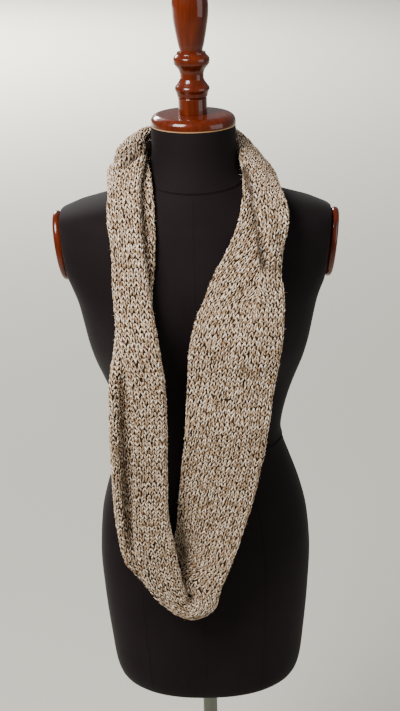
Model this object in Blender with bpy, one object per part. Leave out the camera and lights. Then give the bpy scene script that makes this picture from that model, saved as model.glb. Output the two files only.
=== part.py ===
"""Knitted neck warmer, a long looped tube, hanging on a limbless dress form with its stand.

Run with blender --background --python part.py, or from the Text Editor.
The form stands on z = 0 with its pole on the z axis and faces -Y. The tables are in
millimetres, with heights given as a drop below the rim of the fabric neck.
"""
import bpy
import bmesh
import numpy as np
from math import pi, sin, cos, radians
from mathutils import Vector
from mathutils.bvhtree import BVHTree

MM = 0.001

# Driving sizes of the dress form
RIM_HEIGHT = 1350.0        # rim of the fabric neck above the floor
SEAT_GAP = 0.3             # clear space where two pieces meet
TORSO_SIDES = 40
TORSO_STEP = 26.0          # longest drop between two rings of the torso
PLATE_TILT = 6.4           # degrees that an armhole leans outward at its top
PLATE_SIDE = 177.5         # armhole plane's distance from the axis at the plate's middle
PLATE_DROP = 162.0         # middle of the armhole plates below the rim
ARMHOLE_REACH = 270.0      # the armholes cut the torso above this drop only
PLATE_HEIGHT = 97.0
PLATE_DEPTH = 72.0
PLATE_THICK = 11.0
POLE_RADIUS = 11.0
COLLAR_RADIUS = 19.0
COLLAR_HEIGHT = 34.0
BASE_RADIUS = 185.0
BASE_THICK = 9.0

# Torso rings: drop, half width, front depth, back depth, squareness of the outline
TORSO_RINGS = (
    (0, 56, -56, 56, 2.0),
    (30, 56, -57, 58, 2.0),
    (52, 59, -61, 62, 2.0),
    (66, 66, -66, 68, 2.0),
    (78, 84, -72, 76, 1.9),
    (88, 108, -77, 83, 1.9),
    (97, 134, -81, 88, 1.95),
    (105, 164, -85, 93, 2.0),
    (113, 182, -88, 97, 2.1),
    (124, 191, -93, 101, 2.2),
    (150, 192, -101, 107, 2.3),
    (180, 187, -109, 110, 2.3),
    (208, 175, -115, 109, 2.3),
    (235, 165, -118, 106, 2.25),
    (262, 159, -119, 101, 2.2),
    (291, 153, -118, 95, 2.2),
    (316, 146, -114, 89, 2.2),
    (342, 136, -108, 83, 2.2),
    (364, 128, -102, 78, 2.2),
    (388, 121, -96, 74, 2.2),
    (410, 116, -91, 72, 2.2),
    (434, 113, -89, 72, 2.2),
    (456, 117, -91, 76, 2.2),
    (480, 125, -96, 83, 2.2),
    (506, 134, -101, 92, 2.2),
    (532, 142, -106, 101, 2.25),
    (566, 150, -111, 110, 2.25),
    (601, 154, -115, 116, 2.3),
    (640, 156, -117, 119, 2.3),
    (686, 154, -117, 118, 2.3),
    (730, 151, -115, 115, 2.3),
    (774, 147, -112, 112, 2.3),
    (812, 143, -110, 110, 2.3),
    (832, 138, -106, 106, 2.3),
    (841, 131, -99, 99, 2.3),
    (845, 122, -92, 92, 2.3),
)
TORSO_DROP = TORSO_RINGS[-1][0]

# Bust: side of each apex, its drop, its height, and its reach sideways, upward and downward
BUST_SIDE, BUST_DROP, BUST_HEIGHT = 80.0, 282.0, 34.0
BUST_WIDE, BUST_UP, BUST_DOWN = 44.0, 70.0, 44.0

# Turned neck cap and finial: height above the rim and radius
NECK_CAP_PROFILE = (
    (0, 56), (3, 56.4), (7, 56), (10.5, 54.4), (13.2, 51.4), (14.6, 47.5), (14.9, 44),
)
FINIAL_PROFILE = (
    (15.2, 18.9), (34.5, 18.9), (35.5, 18.2), (37, 19.6), (42, 20.8), (45, 22.1), (47, 23.0),
    (49, 22.6), (53, 19.8), (57, 17.0), (61, 15.5), (66, 15.5), (70, 16.4), (73, 17.9), (76, 20.4),
    (80, 23.2), (84, 23.8), (87, 23.2), (90, 20.7), (92, 19.0), (94, 18.6), (94.5, 14.9),
    (105, 17.2), (122, 20.5), (141, 23.3), (151, 23.7), (160, 23.1), (167, 21.2), (173, 17.4),
    (176.5, 12.5), (178, 6.0),
)

# Neck warmer: a flat knitted tube, its two layers lying on each other as one wall
WALL = 6.0                 # both knitted layers of the flat tube
FOLD_REACH = 6.0           # how far a fold's rounding reaches along a layer
OPEN_REACH = 3.0           # half the width of the slope where a fold opens up
ROLL_REACH = 15.0          # how far the valley lies from a back fold that rolls forward
ROLL_SHARE = 0.35          # and the part of the layer between the folds that it stays within
VALLEY_DEPTH = 0.3         # depth of that valley, as a part of the roll's height
SPLINE_PIECES = 2          # straight pieces to each span of a section's line
SEAT_CLEARANCE = 1.3       # outlines keep this much off the form, so that the faces between are clear
SEAT_ROUNDS = 6

# Sections round the loop: middle point (x, y, drop), the way outward (x, y, up), then across
# the section, from the middle outward: top edge, front fold, back fold, under edge; layer
# spacing, bow, how far the back fold rolls forward, and how far the section is seated on the
# form (1 fully, 0 hangs free)
LOOP_SECTIONS = (
    ("neck back", 0, 76, 46, 0.00, 0.40, -0.92, 20, -26, 32, -30, 7.5, 3, 0, 1),
    ("neck back left", -53, 58, 44, -0.36, 0.36, -0.86, 6, -30, 36, -28, 8.0, 4, 2, 0.6),
    ("neck left", -87, 18, 42, -0.66, 0.14, -0.74, 1, -33, 34, -26, 8.5, 7, 4, 0.2),
    ("neck left fore", -91, -24, 53, -0.84, 0.02, -0.55, 6, -32, 26, -29, 8.5, 6, 2, 0.1),
    ("shoulder left", -88, -64, 74, -0.96, 0.02, -0.28, 18, -20, 21, -32, 8.0, 4, 0, 0.4),
    ("chest left", -83, -94, 102, -1.00, 0.08, -0.08, 24, -16, 23, -30, 8.0, 3, 0, 0.8),
    ("chest left low", -80, -112, 136, -1.00, 0.10, 0.00, 22, -15, 20, -27, 8.5, 3, 0, 1),
    ("bust left high", -79, -126, 190, -1.00, 0.10, 0.00, 22, -20, 19, -22, 8.5, 3, 0, 1),
    ("bust left", -76, -150, 250, -1.00, 0.06, 0.00, 19, -27, 25, -10, 8.5, 3, 0, 1),
    ("under bust left", -76, -155, 300, -1.00, 0.00, 0.00, 8, -33, 33, 0, 11.0, 2, 6, 0),
    ("hang left high", -76, -155, 350, -1.00, 0.00, 0.00, 5, -34, 36, 0, 12.0, 2, 10, 0),
    ("hang left", -77, -154, 430, -1.00, 0.00, 0.00, 7, -33, 36, 0, 12.0, 2, 11, 0),
    ("hang left low", -78, -153, 500, -1.00, 0.02, 0.00, 9, -33, 34, -4, 12.0, 2, 10, 0),
    ("turn left", -74, -154, 540, -0.99, 0.04, -0.12, 13, -35, 34, -10, 10.5, 2, 8, 0),
    ("turn left mid", -67, -154, 566, -0.95, 0.07, -0.28, 18, -32, 35, -14, 8.6, 2, 4, 0),
    ("turn left low", -56, -153, 592, -0.88, 0.10, -0.46, 23, -26, 27, -18, 7.2, 3, 0, 0),
    ("turn left foot", -39, -151, 626, -0.70, 0.20, -0.68, 19, -17, 20, -15, 6.8, 5, 0, 0),
    ("foot", -17, -147, 650, 0.03, 0.22, -0.97, 14, -13, 14, -12, 6.6, 6, 0, 0),
    ("turn right foot", 1, -143, 643, 0.86, -0.02, -0.51, 15, -18, 13, -16, 6.6, 5, 0, 0),
    ("turn right low", -2, -139, 615, 0.89, -0.28, -0.36, 28, -29, 8, -27, 6.8, 4, 0, 0),
    ("turn right", 2, -141, 576, 0.89, -0.38, -0.24, 38, -20, -24, -43, 3.5, 4, 0, 0),
    ("hang right low", 11, -143, 529, 0.96, -0.27, -0.03, 45, 0, -26, -44, 0.6, 6, 0, 0),
    ("hang right", 21, -147, 486, 0.99, -0.14, 0.00, 47, 2, -26, -49, 0.4, 6, 0, 0),
    ("hang right high", 32, -150, 424, 1.00, -0.05, 0.00, 50, 4, -26, -52, 0.4, 6, 0, 0),
    ("under bust right", 41, -152, 360, 1.00, 0.00, 0.00, 52, 6, -25, -54, 0.4, 7, 0, 0),
    ("bust right low", 47, -150, 316, 1.00, 0.02, 0.00, 53, 16, -18, -57, 0.6, 8, 0, 0.5),
    ("bust right", 54, -146, 260, 1.00, 0.04, 0.00, 56, 27, -4, -59, 2.0, 7, 0, 1),
    ("bust right high", 59, -132, 225, 1.00, 0.06, 0.00, 54, 22, 12, -56, 3.6, 6, 0, 1),
    ("chest right low", 65, -120, 196, 1.00, 0.10, 0.00, 48, 17, 22, -48, 6.6, 4, 0, 1),
    ("chest right", 71, -116, 166, 1.00, 0.12, 0.00, 38, 16, 34, -40, 7.5, 3, 0, 1),
    ("chest right high", 82, -108, 136, 1.00, 0.12, -0.02, 31, 3, 27, -34, 8.0, 3, 0, 1),
    ("shoulder right low", 92, -94, 106, 0.99, 0.06, -0.12, 28, -10, 24, -31, 7.5, 3, 0, 1),
    ("shoulder right", 93, -62, 82, 0.93, 0.02, -0.36, 25, -19, 20, -25, 7.5, 3, 0, 1),
    ("neck right fore", 87, -20, 62, 0.78, 0.02, -0.62, 27, -29, 10, -20, 6.8, 2, 0, 1),
    ("neck right", 78, 20, 52, 0.64, 0.18, -0.74, 29, -32, 12, -24, 6.8, 2, 0, 1),
    ("neck back right", 47, 60, 49, 0.34, 0.36, -0.87, 28, -30, 24, -30, 7.0, 3, 0, 1),
)
# Stretches of the loop, each its own solid: name, the sections where it starts and ends, and
# the distance between the outlines that its surface runs through
STRETCHES = (
    ("warmer_neck_back", "neck right", "neck left", 16.0),
    ("warmer_left_strand", "neck left", "turn left", 26.0),
    ("warmer_bottom_turn", "turn left", "hang right low", 13.0),
    ("warmer_right_strand", "hang right low", "neck right", 26.0),
)

# Colour, roughness, metallic
FINISHES = {
    "form fabric": ((0.018, 0.014, 0.014), 0.9, 0.0),
    "mahogany": ((0.21, 0.030, 0.010), 0.25, 0.0),
    "satin steel": ((0.42, 0.43, 0.40), 0.35, 1.0),
    "marl knit": ((0.56, 0.47, 0.37), 0.95, 0.0),
}


def clear_scene():
    """Remove what the file holds, so that a run starts empty."""
    for old in list(bpy.data.objects):
        bpy.data.objects.remove(old, do_unlink=True)


def finish(obj, name):
    """Give the object a material of its own."""
    colour, rough, metal = FINISHES[name]
    material = bpy.data.materials.new(f"{obj.name} {name}")
    material.use_nodes = True
    shader = material.node_tree.nodes["Principled BSDF"]
    shader.inputs["Base Color"].default_value = (*colour, 1.0)
    shader.inputs["Roughness"].default_value = rough
    shader.inputs["Metallic"].default_value = metal
    material.diffuse_color = (*colour, 1.0)
    obj.data.materials.append(material)


def add_object(name, bm, finish_name, sharp=40.0):
    """Turn a bmesh that is in millimetres, with z above the floor, into a smooth object."""
    bmesh.ops.recalc_face_normals(bm, faces=bm.faces)
    bmesh.ops.scale(bm, vec=(MM, MM, MM), verts=bm.verts)
    mesh = bpy.data.meshes.new(name)
    bm.to_mesh(mesh)
    bm.free()
    mesh.shade_smooth()
    mesh.set_sharp_from_angle(angle=radians(sharp))
    obj = bpy.data.objects.new(name, mesh)
    bpy.context.scene.collection.objects.link(obj)
    finish(obj, finish_name)
    return obj


def monotone(x, xs, ys):
    """Smooth curve through (xs, ys) that adds no bump of its own, read at x."""
    step = np.diff(xs)
    slope = np.diff(ys) / step
    tangent = np.zeros(len(ys))
    tangent[0], tangent[-1] = slope[0], slope[-1]
    for k in range(1, len(ys) - 1):
        if slope[k - 1] * slope[k] > 0:
            near, far = 2 * step[k] + step[k - 1], step[k] + 2 * step[k - 1]
            tangent[k] = (near + far) / (near / slope[k - 1] + far / slope[k])
    i = np.clip(np.searchsorted(xs, x) - 1, 0, len(xs) - 2)
    t = (x - xs[i]) / step[i]
    start = (1 + 2 * t) * (1 - t) ** 2 * ys[i] + t * (1 - t) ** 2 * step[i] * tangent[i]
    end = t * t * (3 - 2 * t) * ys[i + 1] + t * t * (t - 1) * step[i] * tangent[i + 1]
    return start + end


def bridge_rings(bm, rings):
    """Join rings of vertices with quads, one after the other."""
    for lower, upper in zip(rings, rings[1:]):
        count = len(lower)
        for k in range(count):
            n = (k + 1) % count
            bm.faces.new((lower[k], lower[n], upper[n], upper[k]))


def close_flat(bm, rings):
    """Close both ends of a row of rings with flat faces."""
    bm.faces.new(list(reversed(rings[0])))
    bm.faces.new(rings[-1])


def bust_at(side, drop):
    """How far the bust stands out in front of the plain torso."""
    reach = np.where(drop < BUST_DROP, BUST_UP, BUST_DOWN)
    across = (np.abs(side) - BUST_SIDE) / BUST_WIDE
    return BUST_HEIGHT * np.exp(-across ** 2 - ((drop - BUST_DROP) / reach) ** 2)


def torso_ring(drop):
    """Outline of the torso at one height, counter-clockwise seen from above."""
    drops = np.array([row[0] for row in TORSO_RINGS], float)
    columns = np.array(TORSO_RINGS, float).T[1:]
    half, front, back, square = (monotone(drop, drops, column) for column in columns)
    angle = np.arange(TORSO_SIDES) * 2 * pi / TORSO_SIDES
    across, along = np.cos(angle), np.sin(angle)
    x = half * np.sign(across) * np.abs(across) ** (2 / square)
    y = (front + back) / 2 + (back - front) / 2 * np.sign(along) * np.abs(along) ** (2 / square)
    y = np.where(along < 0, y - bust_at(x, drop) * np.clip(-along * 2, 0, 1), y)
    return [(px, py, RIM_HEIGHT - drop) for px, py in zip(x, y)]


def torso_bmesh():
    """The torso as one closed body, its armholes cut flat."""
    bm = bmesh.new()
    drops = [TORSO_RINGS[0][0]]
    for row in TORSO_RINGS[1:]:
        pieces = int(np.ceil((row[0] - drops[-1]) / TORSO_STEP))
        drops += [drops[-1] + (row[0] - drops[-1]) * (k + 1) / pieces for k in range(pieces)]
    rings = [[bm.verts.new(p) for p in torso_ring(drop)] for drop in reversed(drops)]
    bridge_rings(bm, rings)
    close_flat(bm, rings)
    for side in (-1, 1):
        normal = armhole_normal(side)
        lowest = RIM_HEIGHT - ARMHOLE_REACH
        faces = [f for f in bm.faces if min(v.co.z for v in f.verts) > lowest]
        edges = {e for f in faces for e in f.edges}
        verts = {v for f in faces for v in f.verts}
        bmesh.ops.bisect_plane(bm, geom=[*verts, *edges, *faces], plane_co=armhole_centre(side),
                               plane_no=normal, clear_outer=True)
        rim = [e for e in bm.edges if e.is_boundary]
        bmesh.ops.contextual_create(bm, geom=rim)
    bmesh.ops.recalc_face_normals(bm, faces=bm.faces)
    return bm


def armhole_normal(side):
    """Direction that an armhole faces, outward and slightly down."""
    return Vector((side * cos(radians(PLATE_TILT)), 0, -sin(radians(PLATE_TILT))))


def armhole_centre(side):
    """Middle of an armhole on its cut plane."""
    return Vector((side * PLATE_SIDE, 0, RIM_HEIGHT - PLATE_DROP))


def rounded_disc(bm, centre, axis, width_way, half_width, half_height, thick, sides, edge):
    """An oval plate with a rounded edge, standing on the plane through centre."""
    height_way = axis.cross(width_way)
    rings = []
    steps = 5
    for k in range(steps + 1):
        turn = -pi / 2 + pi * k / steps
        inset = edge * (1 - cos(turn))
        rise = thick / 2 + thick / 2 * sin(turn)
        ring = []
        for s in range(sides):
            angle = 2 * pi * s / sides
            point = centre + axis * rise
            point += width_way * ((half_width - inset) * cos(angle))
            point += height_way * ((half_height - inset) * sin(angle))
            ring.append(bm.verts.new(point))
        rings.append(ring)
    bridge_rings(bm, rings)
    close_flat(bm, rings)


def turned(profile, sides):
    """A body turned round the z axis from (radius, z) pairs, bottom to top."""
    bm = bmesh.new()
    rings = []
    for radius, z in profile:
        ring = [2 * pi * k / sides for k in range(sides)]
        rings.append([bm.verts.new((radius * cos(a), radius * sin(a), z)) for a in ring])
    bridge_rings(bm, rings)
    close_flat(bm, rings)
    return bm


def spline(points, pieces):
    """Rounded line that follows a control polygon and starts and ends on it."""
    points = np.asarray(points, float)
    middles = (points[:-1] + points[1:]) / 2
    starts = np.vstack([points[:1], middles[1:-1], points[-1:]])
    line = [starts[0]]
    for k, corner in enumerate(points[1:-1]):
        for t in np.arange(1, pieces + 1) / pieces:
            line.append((1 - t) ** 2 * starts[k] + 2 * t * (1 - t) * corner + t * t * starts[k + 1])
    return np.array(line)


def fold_line(top, fold_front, fold_back, under, spacing, roll):
    """Middle line of the folded tube across a section, as (outward, forward) points."""
    turn = np.clip((fold_back - fold_front) / (2 * FOLD_REACH), -1, 1)
    lean = 0.35 * spacing * (1 - abs(turn))
    reach = FOLD_REACH * turn
    share = ROLL_SHARE * abs(fold_back - fold_front)
    valley = np.copysign(max(abs(reach), min(ROLL_REACH, share)), turn)
    slope = OPEN_REACH * max(0, -turn)
    polygon = [
        (top, spacing),
        (top * 0.5 + fold_front * 0.5, spacing),
        (fold_front + FOLD_REACH, spacing),
        (fold_front + slope, spacing),
        (fold_front - slope, lean),
        (fold_front + reach, lean / 2),
        (fold_front * 0.5 + fold_back * 0.5, 0),
        (fold_back - valley, -lean / 4 - VALLEY_DEPTH * roll),
        (fold_back - reach, roll - lean / 2),
        (fold_back + slope, roll - lean),
        (fold_back - slope, -spacing),
        (fold_back - FOLD_REACH, -spacing),
        (under * 0.5 + fold_back * 0.5, -spacing),
        (under, -spacing),
    ]
    return spline(polygon, SPLINE_PIECES)


def section_outline(row):
    """Closed outline of the wall round the folded tube, with rounded edges."""
    top, fold_front, fold_back, under, spacing, bow, roll = row
    line = fold_line(top, fold_front, fold_back, under, spacing, roll)
    middle = (line[:, 0].max() + line[:, 0].min()) / 2
    half = (line[:, 0].max() - line[:, 0].min()) / 2
    line[:, 1] += bow * (1 - ((line[:, 0] - middle) / half) ** 2)
    way = np.gradient(line, axis=0)
    way /= np.linalg.norm(way, axis=1)[:, None]
    side = np.stack([way[:, 1], -way[:, 0]], axis=1) * WALL / 2
    cap = way * WALL / 2
    tip = line[0] - cap[0]
    tail = line[-1] + cap[-1]
    upper, lower = line + side, line - side
    return np.vstack([[tip], upper, [tail], lower[::-1]])


def loop_table():
    """Columns of the loop's sections, closed on themselves, and the way along the loop."""
    rows = np.array([row[1:] for row in LOOP_SECTIONS], float)
    rows[:, 2] = RIM_HEIGHT - rows[:, 2]
    around = np.vstack([rows[-3:], rows, rows[:4]])
    length = np.concatenate([[0], np.cumsum(np.linalg.norm(np.diff(around[:, :3], axis=0), axis=1))])
    return around, length - length[3]


def loop_sections(where):
    """Middle, outward way, forward way and outline numbers at distances along the loop."""
    around, length = loop_table()
    values = np.stack([smooth_column(where, length, column) for column in around.T], axis=1)
    nearby = 4.0
    ahead, behind = (np.stack([smooth_column(where + d, length, column) for column in around.T[:3]],
                              axis=1) for d in (nearby, -nearby))
    along = ahead - behind
    outward = values[:, 3:6] / np.linalg.norm(values[:, 3:6], axis=1)[:, None]
    forward = np.cross(outward, along)
    forward /= np.linalg.norm(forward, axis=1)[:, None]
    return values[:, :3], outward, forward, values[:, 6:]


def smooth_column(where, length, column):
    """Cubic curve through a column of the table, with slopes from the neighbouring rows."""
    slope = (column[2:] - column[:-2]) / (length[2:] - length[:-2])
    slope = np.concatenate([[0], slope, [0]])
    i = np.clip(np.searchsorted(length, where) - 1, 1, len(length) - 3)
    step = length[i + 1] - length[i]
    t = (where - length[i]) / step
    start = (1 + 2 * t) * (1 - t) ** 2 * column[i] + t * (1 - t) ** 2 * step * slope[i]
    end = t * t * (3 - 2 * t) * column[i + 1] + t * t * (t - 1) * step * slope[i + 1]
    return start + end


def seat_on_form(points, forward, seated, form):
    """Move each seated section along its forward way until it just clears the form."""
    count = len(points)
    lift = np.zeros(count)
    for _ in range(SEAT_ROUNDS):
        for k in range(count):
            lift[k] += clearance_needed(points[k] + lift[k] * forward[k], forward[k], form)
    lift = np.where(lift > 0, lift, lift * np.clip(seated, 0, 1))
    wide = np.convolve(np.pad(lift, 2, mode="edge"), np.ones(5) / 5, mode="valid")
    lift = np.maximum(lift, wide)
    return points + lift[:, None, None] * forward[:, None, :]


def clearance_needed(outline, forward, form):
    """Distance forward that brings the outline's nearest point to the seat gap."""
    needed = -1e9
    for point in outline:
        spot, normal, _, distance = form.find_nearest(Vector(point))
        facing = max(normal.dot(Vector(forward)), 0.35)
        height = (Vector(point) - spot).dot(normal)
        gap = distance if height > 0 else -distance
        needed = max(needed, (SEAT_CLEARANCE - gap) / facing)
    return needed


def build_warmer(form):
    """The four stretches of the folded tube."""
    around, length = loop_table()
    total = length[-4] - length[3]
    start_of = {row[0]: length[k + 3] for k, row in enumerate(LOOP_SECTIONS)}
    for name, first, last, spacing in STRETCHES:
        begin, finish_at = start_of[first], start_of[last]
        if finish_at < begin:
            begin -= total
        steps = int(np.ceil((finish_at - begin) / spacing))
        where = np.linspace(begin + SEAT_GAP / 2, finish_at - SEAT_GAP / 2, steps + 1)
        middle, outward, forward, numbers = loop_sections(where)
        outlines = np.array([section_outline(row[:7]) for row in numbers])
        points = middle[:, None] + outlines[..., :1] * outward[:, None] + outlines[..., 1:] * forward[:, None]
        points = seat_on_form(points, forward, numbers[:, 7], form)
        bm = bmesh.new()
        rings = [[bm.verts.new(p) for p in ring] for ring in points]
        bridge_rings(bm, rings)
        for ring in (rings[0], rings[-1]):
            close_ladder(bm, ring)
        add_object(name, bm, "marl knit", 70.0)


def close_ladder(bm, ring):
    """Close the end of a stretch with faces from one side of the wall to the other."""
    across = (len(ring) - 2) // 2
    upper, lower = ring[1:across + 1], ring[:across + 1:-1]
    bm.faces.new((ring[0], upper[0], lower[0]))
    for k in range(across - 1):
        bm.faces.new((upper[k], upper[k + 1], lower[k + 1], lower[k]))
    bm.faces.new((upper[-1], ring[across + 1], lower[-1]))


def build_form():
    """Torso, its wooden neck cap, finial and armhole plates; returns the torso's surface."""
    bm = torso_bmesh()
    form = BVHTree.FromBMesh(bm)
    add_object("form_torso", bm, "form fabric", 50.0)

    for name, profile, sides in (("neck_cap", NECK_CAP_PROFILE, 40), ("finial", FINIAL_PROFILE, 20)):
        rows = [(radius, RIM_HEIGHT + z + SEAT_GAP) for z, radius in profile]
        add_object(name, turned(rows, sides), "mahogany", 50.0)

    for side, name in ((-1, "armhole_plate_left"), (1, "armhole_plate_right")):
        bm = bmesh.new()
        axis = armhole_normal(side)
        rounded_disc(bm, armhole_centre(side) + axis * SEAT_GAP, axis, Vector((0, side, 0)),
                     PLATE_DEPTH / 2, PLATE_HEIGHT / 2, PLATE_THICK, 32, PLATE_THICK / 2)
        add_object(name, bm, "mahogany", 50.0)
    return form


def build_stand():
    """Base plate, pole and the collar that takes the pole under the torso."""
    torso_bottom = RIM_HEIGHT - TORSO_DROP
    edge = 3.0
    add_object("base_plate", turned([(BASE_RADIUS, 0), (BASE_RADIUS, BASE_THICK - edge),
                                     (BASE_RADIUS - edge, BASE_THICK)], 48), "satin steel", 30.0)
    add_object("pole", turned([(POLE_RADIUS, BASE_THICK + SEAT_GAP),
                               (POLE_RADIUS, torso_bottom - COLLAR_HEIGHT - 2 * SEAT_GAP)], 24),
               "satin steel", 30.0)
    add_object("pole_collar", turned([(COLLAR_RADIUS - edge, torso_bottom - COLLAR_HEIGHT - SEAT_GAP),
                                      (COLLAR_RADIUS, torso_bottom - COLLAR_HEIGHT - SEAT_GAP + edge),
                                      (COLLAR_RADIUS, torso_bottom - SEAT_GAP)], 28),
               "satin steel", 30.0)


clear_scene()
build_stand()
build_warmer(build_form())
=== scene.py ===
"""Looks of a long knitted neck warmer, folded in three and hung on a limbless dress form.

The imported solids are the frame. The knit, the form's cover, the turned wood and the steel
stand are built round them as finer meshes with their finishes. Sizes are millimetres until a
mesh is written, which is in metres, and heights on the form are drops below its neck rim.
"""

import logging
import math
from dataclasses import dataclass
from enum import Enum

import bmesh
import bpy
import numpy as np
from mathutils import Matrix, Vector, noise
from mathutils.bvhtree import BVHTree


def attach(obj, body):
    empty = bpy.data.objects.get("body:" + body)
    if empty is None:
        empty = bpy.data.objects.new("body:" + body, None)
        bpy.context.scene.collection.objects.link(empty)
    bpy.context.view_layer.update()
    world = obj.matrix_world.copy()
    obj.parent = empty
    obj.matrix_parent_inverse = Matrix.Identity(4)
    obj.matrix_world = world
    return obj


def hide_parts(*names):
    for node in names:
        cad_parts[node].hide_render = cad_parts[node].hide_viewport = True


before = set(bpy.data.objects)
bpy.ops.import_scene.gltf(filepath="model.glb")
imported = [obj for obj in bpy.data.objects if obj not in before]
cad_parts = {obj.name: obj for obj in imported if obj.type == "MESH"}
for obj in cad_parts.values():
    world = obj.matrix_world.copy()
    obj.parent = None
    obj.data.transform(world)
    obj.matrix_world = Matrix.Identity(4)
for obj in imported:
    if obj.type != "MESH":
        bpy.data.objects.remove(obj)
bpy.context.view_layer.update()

LOG = logging.getLogger("neck_warmer")
MM = 0.001
RIM = 1350.0               # neck rim of the form above the floor
BODY = "root"
NEAR = 0.01                # points nearer than this are one
ALL_SMOOTH = 180.0         # angle past which no edge stays crisp
TINY = 1e-9                # keeps a division from failing where a length is nought


class Slot(Enum):
    """Material slots of the record; no piece in this script reads them."""

    KNIT = "marl_knit"
    JERSEY = "form_fabric"
    WOOD = "mahogany"
    STEEL = "satin_steel"


@dataclass(frozen=True)
class Section:
    """One cross-section of the hanging loop.

    The cloth runs from its top edge to the front fold, back to the back fold and on to the
    under edge, all measured outward from the middle point.

    Attributes:
        name: Its name.
        x: Middle point to the side.
        y: Middle point from front to back.
        drop: Middle point's drop.
        out_x: Way outward to the side.
        out_y: Way outward from front to back.
        out_up: Way outward upward.
        top: Top edge.
        front_fold: Front fold.
        back_fold: Back fold.
        under: Under edge.
        spacing: Distance between the three layers.
        bow: How far they arch forward.
        roll: How far the back fold turns forward.
        seated: How far the section rests on the form, from 0 to 1.
    """

    name: str
    x: float
    y: float
    drop: float
    out_x: float
    out_y: float
    out_up: float
    top: float
    front_fold: float
    back_fold: float
    under: float
    spacing: float
    bow: float
    roll: float
    seated: float


LOOP = tuple(Section(*row) for row in (
    ("neck back", 0, 76, 46, 0.00, 0.40, -0.92, 20, -26, 32, -30, 7.5, 3, 0, 1),
    ("neck back left", -53, 58, 44, -0.36, 0.36, -0.86, 6, -30, 36, -28, 8.0, 4, 2, 0.6),
    ("neck left", -87, 18, 42, -0.66, 0.14, -0.74, 1, -33, 34, -26, 8.5, 7, 4, 0.2),
    ("neck left fore", -91, -24, 53, -0.84, 0.02, -0.55, 6, -32, 26, -29, 8.5, 6, 2, 0.1),
    ("shoulder left", -88, -64, 74, -0.96, 0.02, -0.28, 18, -20, 21, -32, 8.0, 4, 0, 0.4),
    ("chest left", -83, -94, 102, -1.00, 0.08, -0.08, 24, -16, 23, -30, 8.0, 3, 0, 0.8),
    ("chest left low", -80, -112, 136, -1.00, 0.10, 0.00, 22, -15, 20, -27, 8.5, 3, 0, 1),
    ("bust left high", -79, -126, 190, -1.00, 0.10, 0.00, 22, -20, 19, -22, 8.5, 3, 0, 1),
    ("bust left", -76, -150, 250, -1.00, 0.06, 0.00, 19, -27, 25, -10, 8.5, 3, 0, 1),
    ("under bust left", -76, -155, 300, -1.00, 0.00, 0.00, 8, -33, 33, 0, 11.0, 2, 6, 0),
    ("hang left high", -76, -155, 350, -1.00, 0.00, 0.00, 5, -34, 36, 0, 12.0, 2, 10, 0),
    ("hang left", -77, -154, 430, -1.00, 0.00, 0.00, 7, -33, 36, 0, 12.0, 2, 11, 0),
    ("hang left low", -78, -153, 500, -1.00, 0.02, 0.00, 9, -33, 34, -4, 12.0, 2, 10, 0),
    ("turn left", -74, -154, 540, -0.99, 0.04, -0.12, 13, -35, 34, -10, 10.5, 2, 8, 0),
    ("turn left mid", -67, -154, 566, -0.95, 0.07, -0.28, 18, -32, 35, -14, 8.6, 2, 4, 0),
    ("turn left low", -56, -153, 592, -0.88, 0.10, -0.46, 23, -26, 27, -18, 7.2, 3, 0, 0),
    ("turn left foot", -39, -151, 626, -0.70, 0.20, -0.68, 19, -17, 20, -15, 6.8, 5, 0, 0),
    ("foot", -17, -147, 650, 0.03, 0.22, -0.97, 14, -13, 14, -12, 6.6, 6, 0, 0),
    ("turn right foot", 1, -143, 643, 0.86, -0.02, -0.51, 15, -18, 13, -16, 6.6, 5, 0, 0),
    ("turn right low", -2, -139, 615, 0.89, -0.28, -0.36, 28, -29, 8, -27, 6.8, 4, 0, 0),
    ("turn right", 2, -141, 576, 0.89, -0.38, -0.24, 38, -20, -24, -43, 3.5, 4, 0, 0),
    ("hang right low", 11, -143, 529, 0.96, -0.27, -0.03, 45, 0, -26, -44, 0.6, 6, 0, 0),
    ("hang right", 21, -147, 486, 0.99, -0.14, 0.00, 47, 2, -26, -49, 0.4, 6, 0, 0),
    ("hang right high", 32, -150, 424, 1.00, -0.05, 0.00, 50, 4, -26, -52, 0.4, 6, 0, 0),
    ("under bust right", 41, -152, 360, 1.00, 0.00, 0.00, 52, 6, -25, -54, 0.4, 7, 0, 0),
    ("bust right low", 47, -150, 316, 1.00, 0.02, 0.00, 53, 16, -18, -57, 0.6, 8, 0, 0.5),
    ("bust right", 54, -146, 260, 1.00, 0.04, 0.00, 56, 27, -4, -59, 2.0, 7, 0, 1),
    ("bust right high", 59, -132, 225, 1.00, 0.06, 0.00, 54, 22, 12, -56, 3.6, 6, 0, 1),
    ("chest right low", 65, -120, 196, 1.00, 0.10, 0.00, 48, 17, 22, -48, 6.6, 4, 0, 1),
    ("chest right", 71, -116, 166, 1.00, 0.12, 0.00, 38, 16, 34, -40, 7.5, 3, 0, 1),
    ("chest right high", 82, -108, 136, 1.00, 0.12, -0.02, 31, 3, 27, -34, 8.0, 3, 0, 1),
    ("shoulder right low", 92, -94, 106, 0.99, 0.06, -0.12, 28, -10, 24, -31, 7.5, 3, 0, 1),
    ("shoulder right", 93, -62, 82, 0.93, 0.02, -0.36, 25, -19, 20, -25, 7.5, 3, 0, 1),
    ("neck right fore", 87, -20, 62, 0.78, 0.02, -0.62, 27, -29, 10, -20, 6.8, 2, 0, 1),
    ("neck right", 78, 20, 52, 0.64, 0.18, -0.74, 29, -32, 12, -24, 6.8, 2, 0, 1),
    ("neck back right", 47, 60, 49, 0.34, 0.36, -0.87, 28, -30, 24, -30, 7.0, 3, 0, 1),
))

# Columns of the loop's rows of numbers
OUTWARD, OUTLINE, SEATED = slice(3, 6), slice(6, 13), 13

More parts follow.
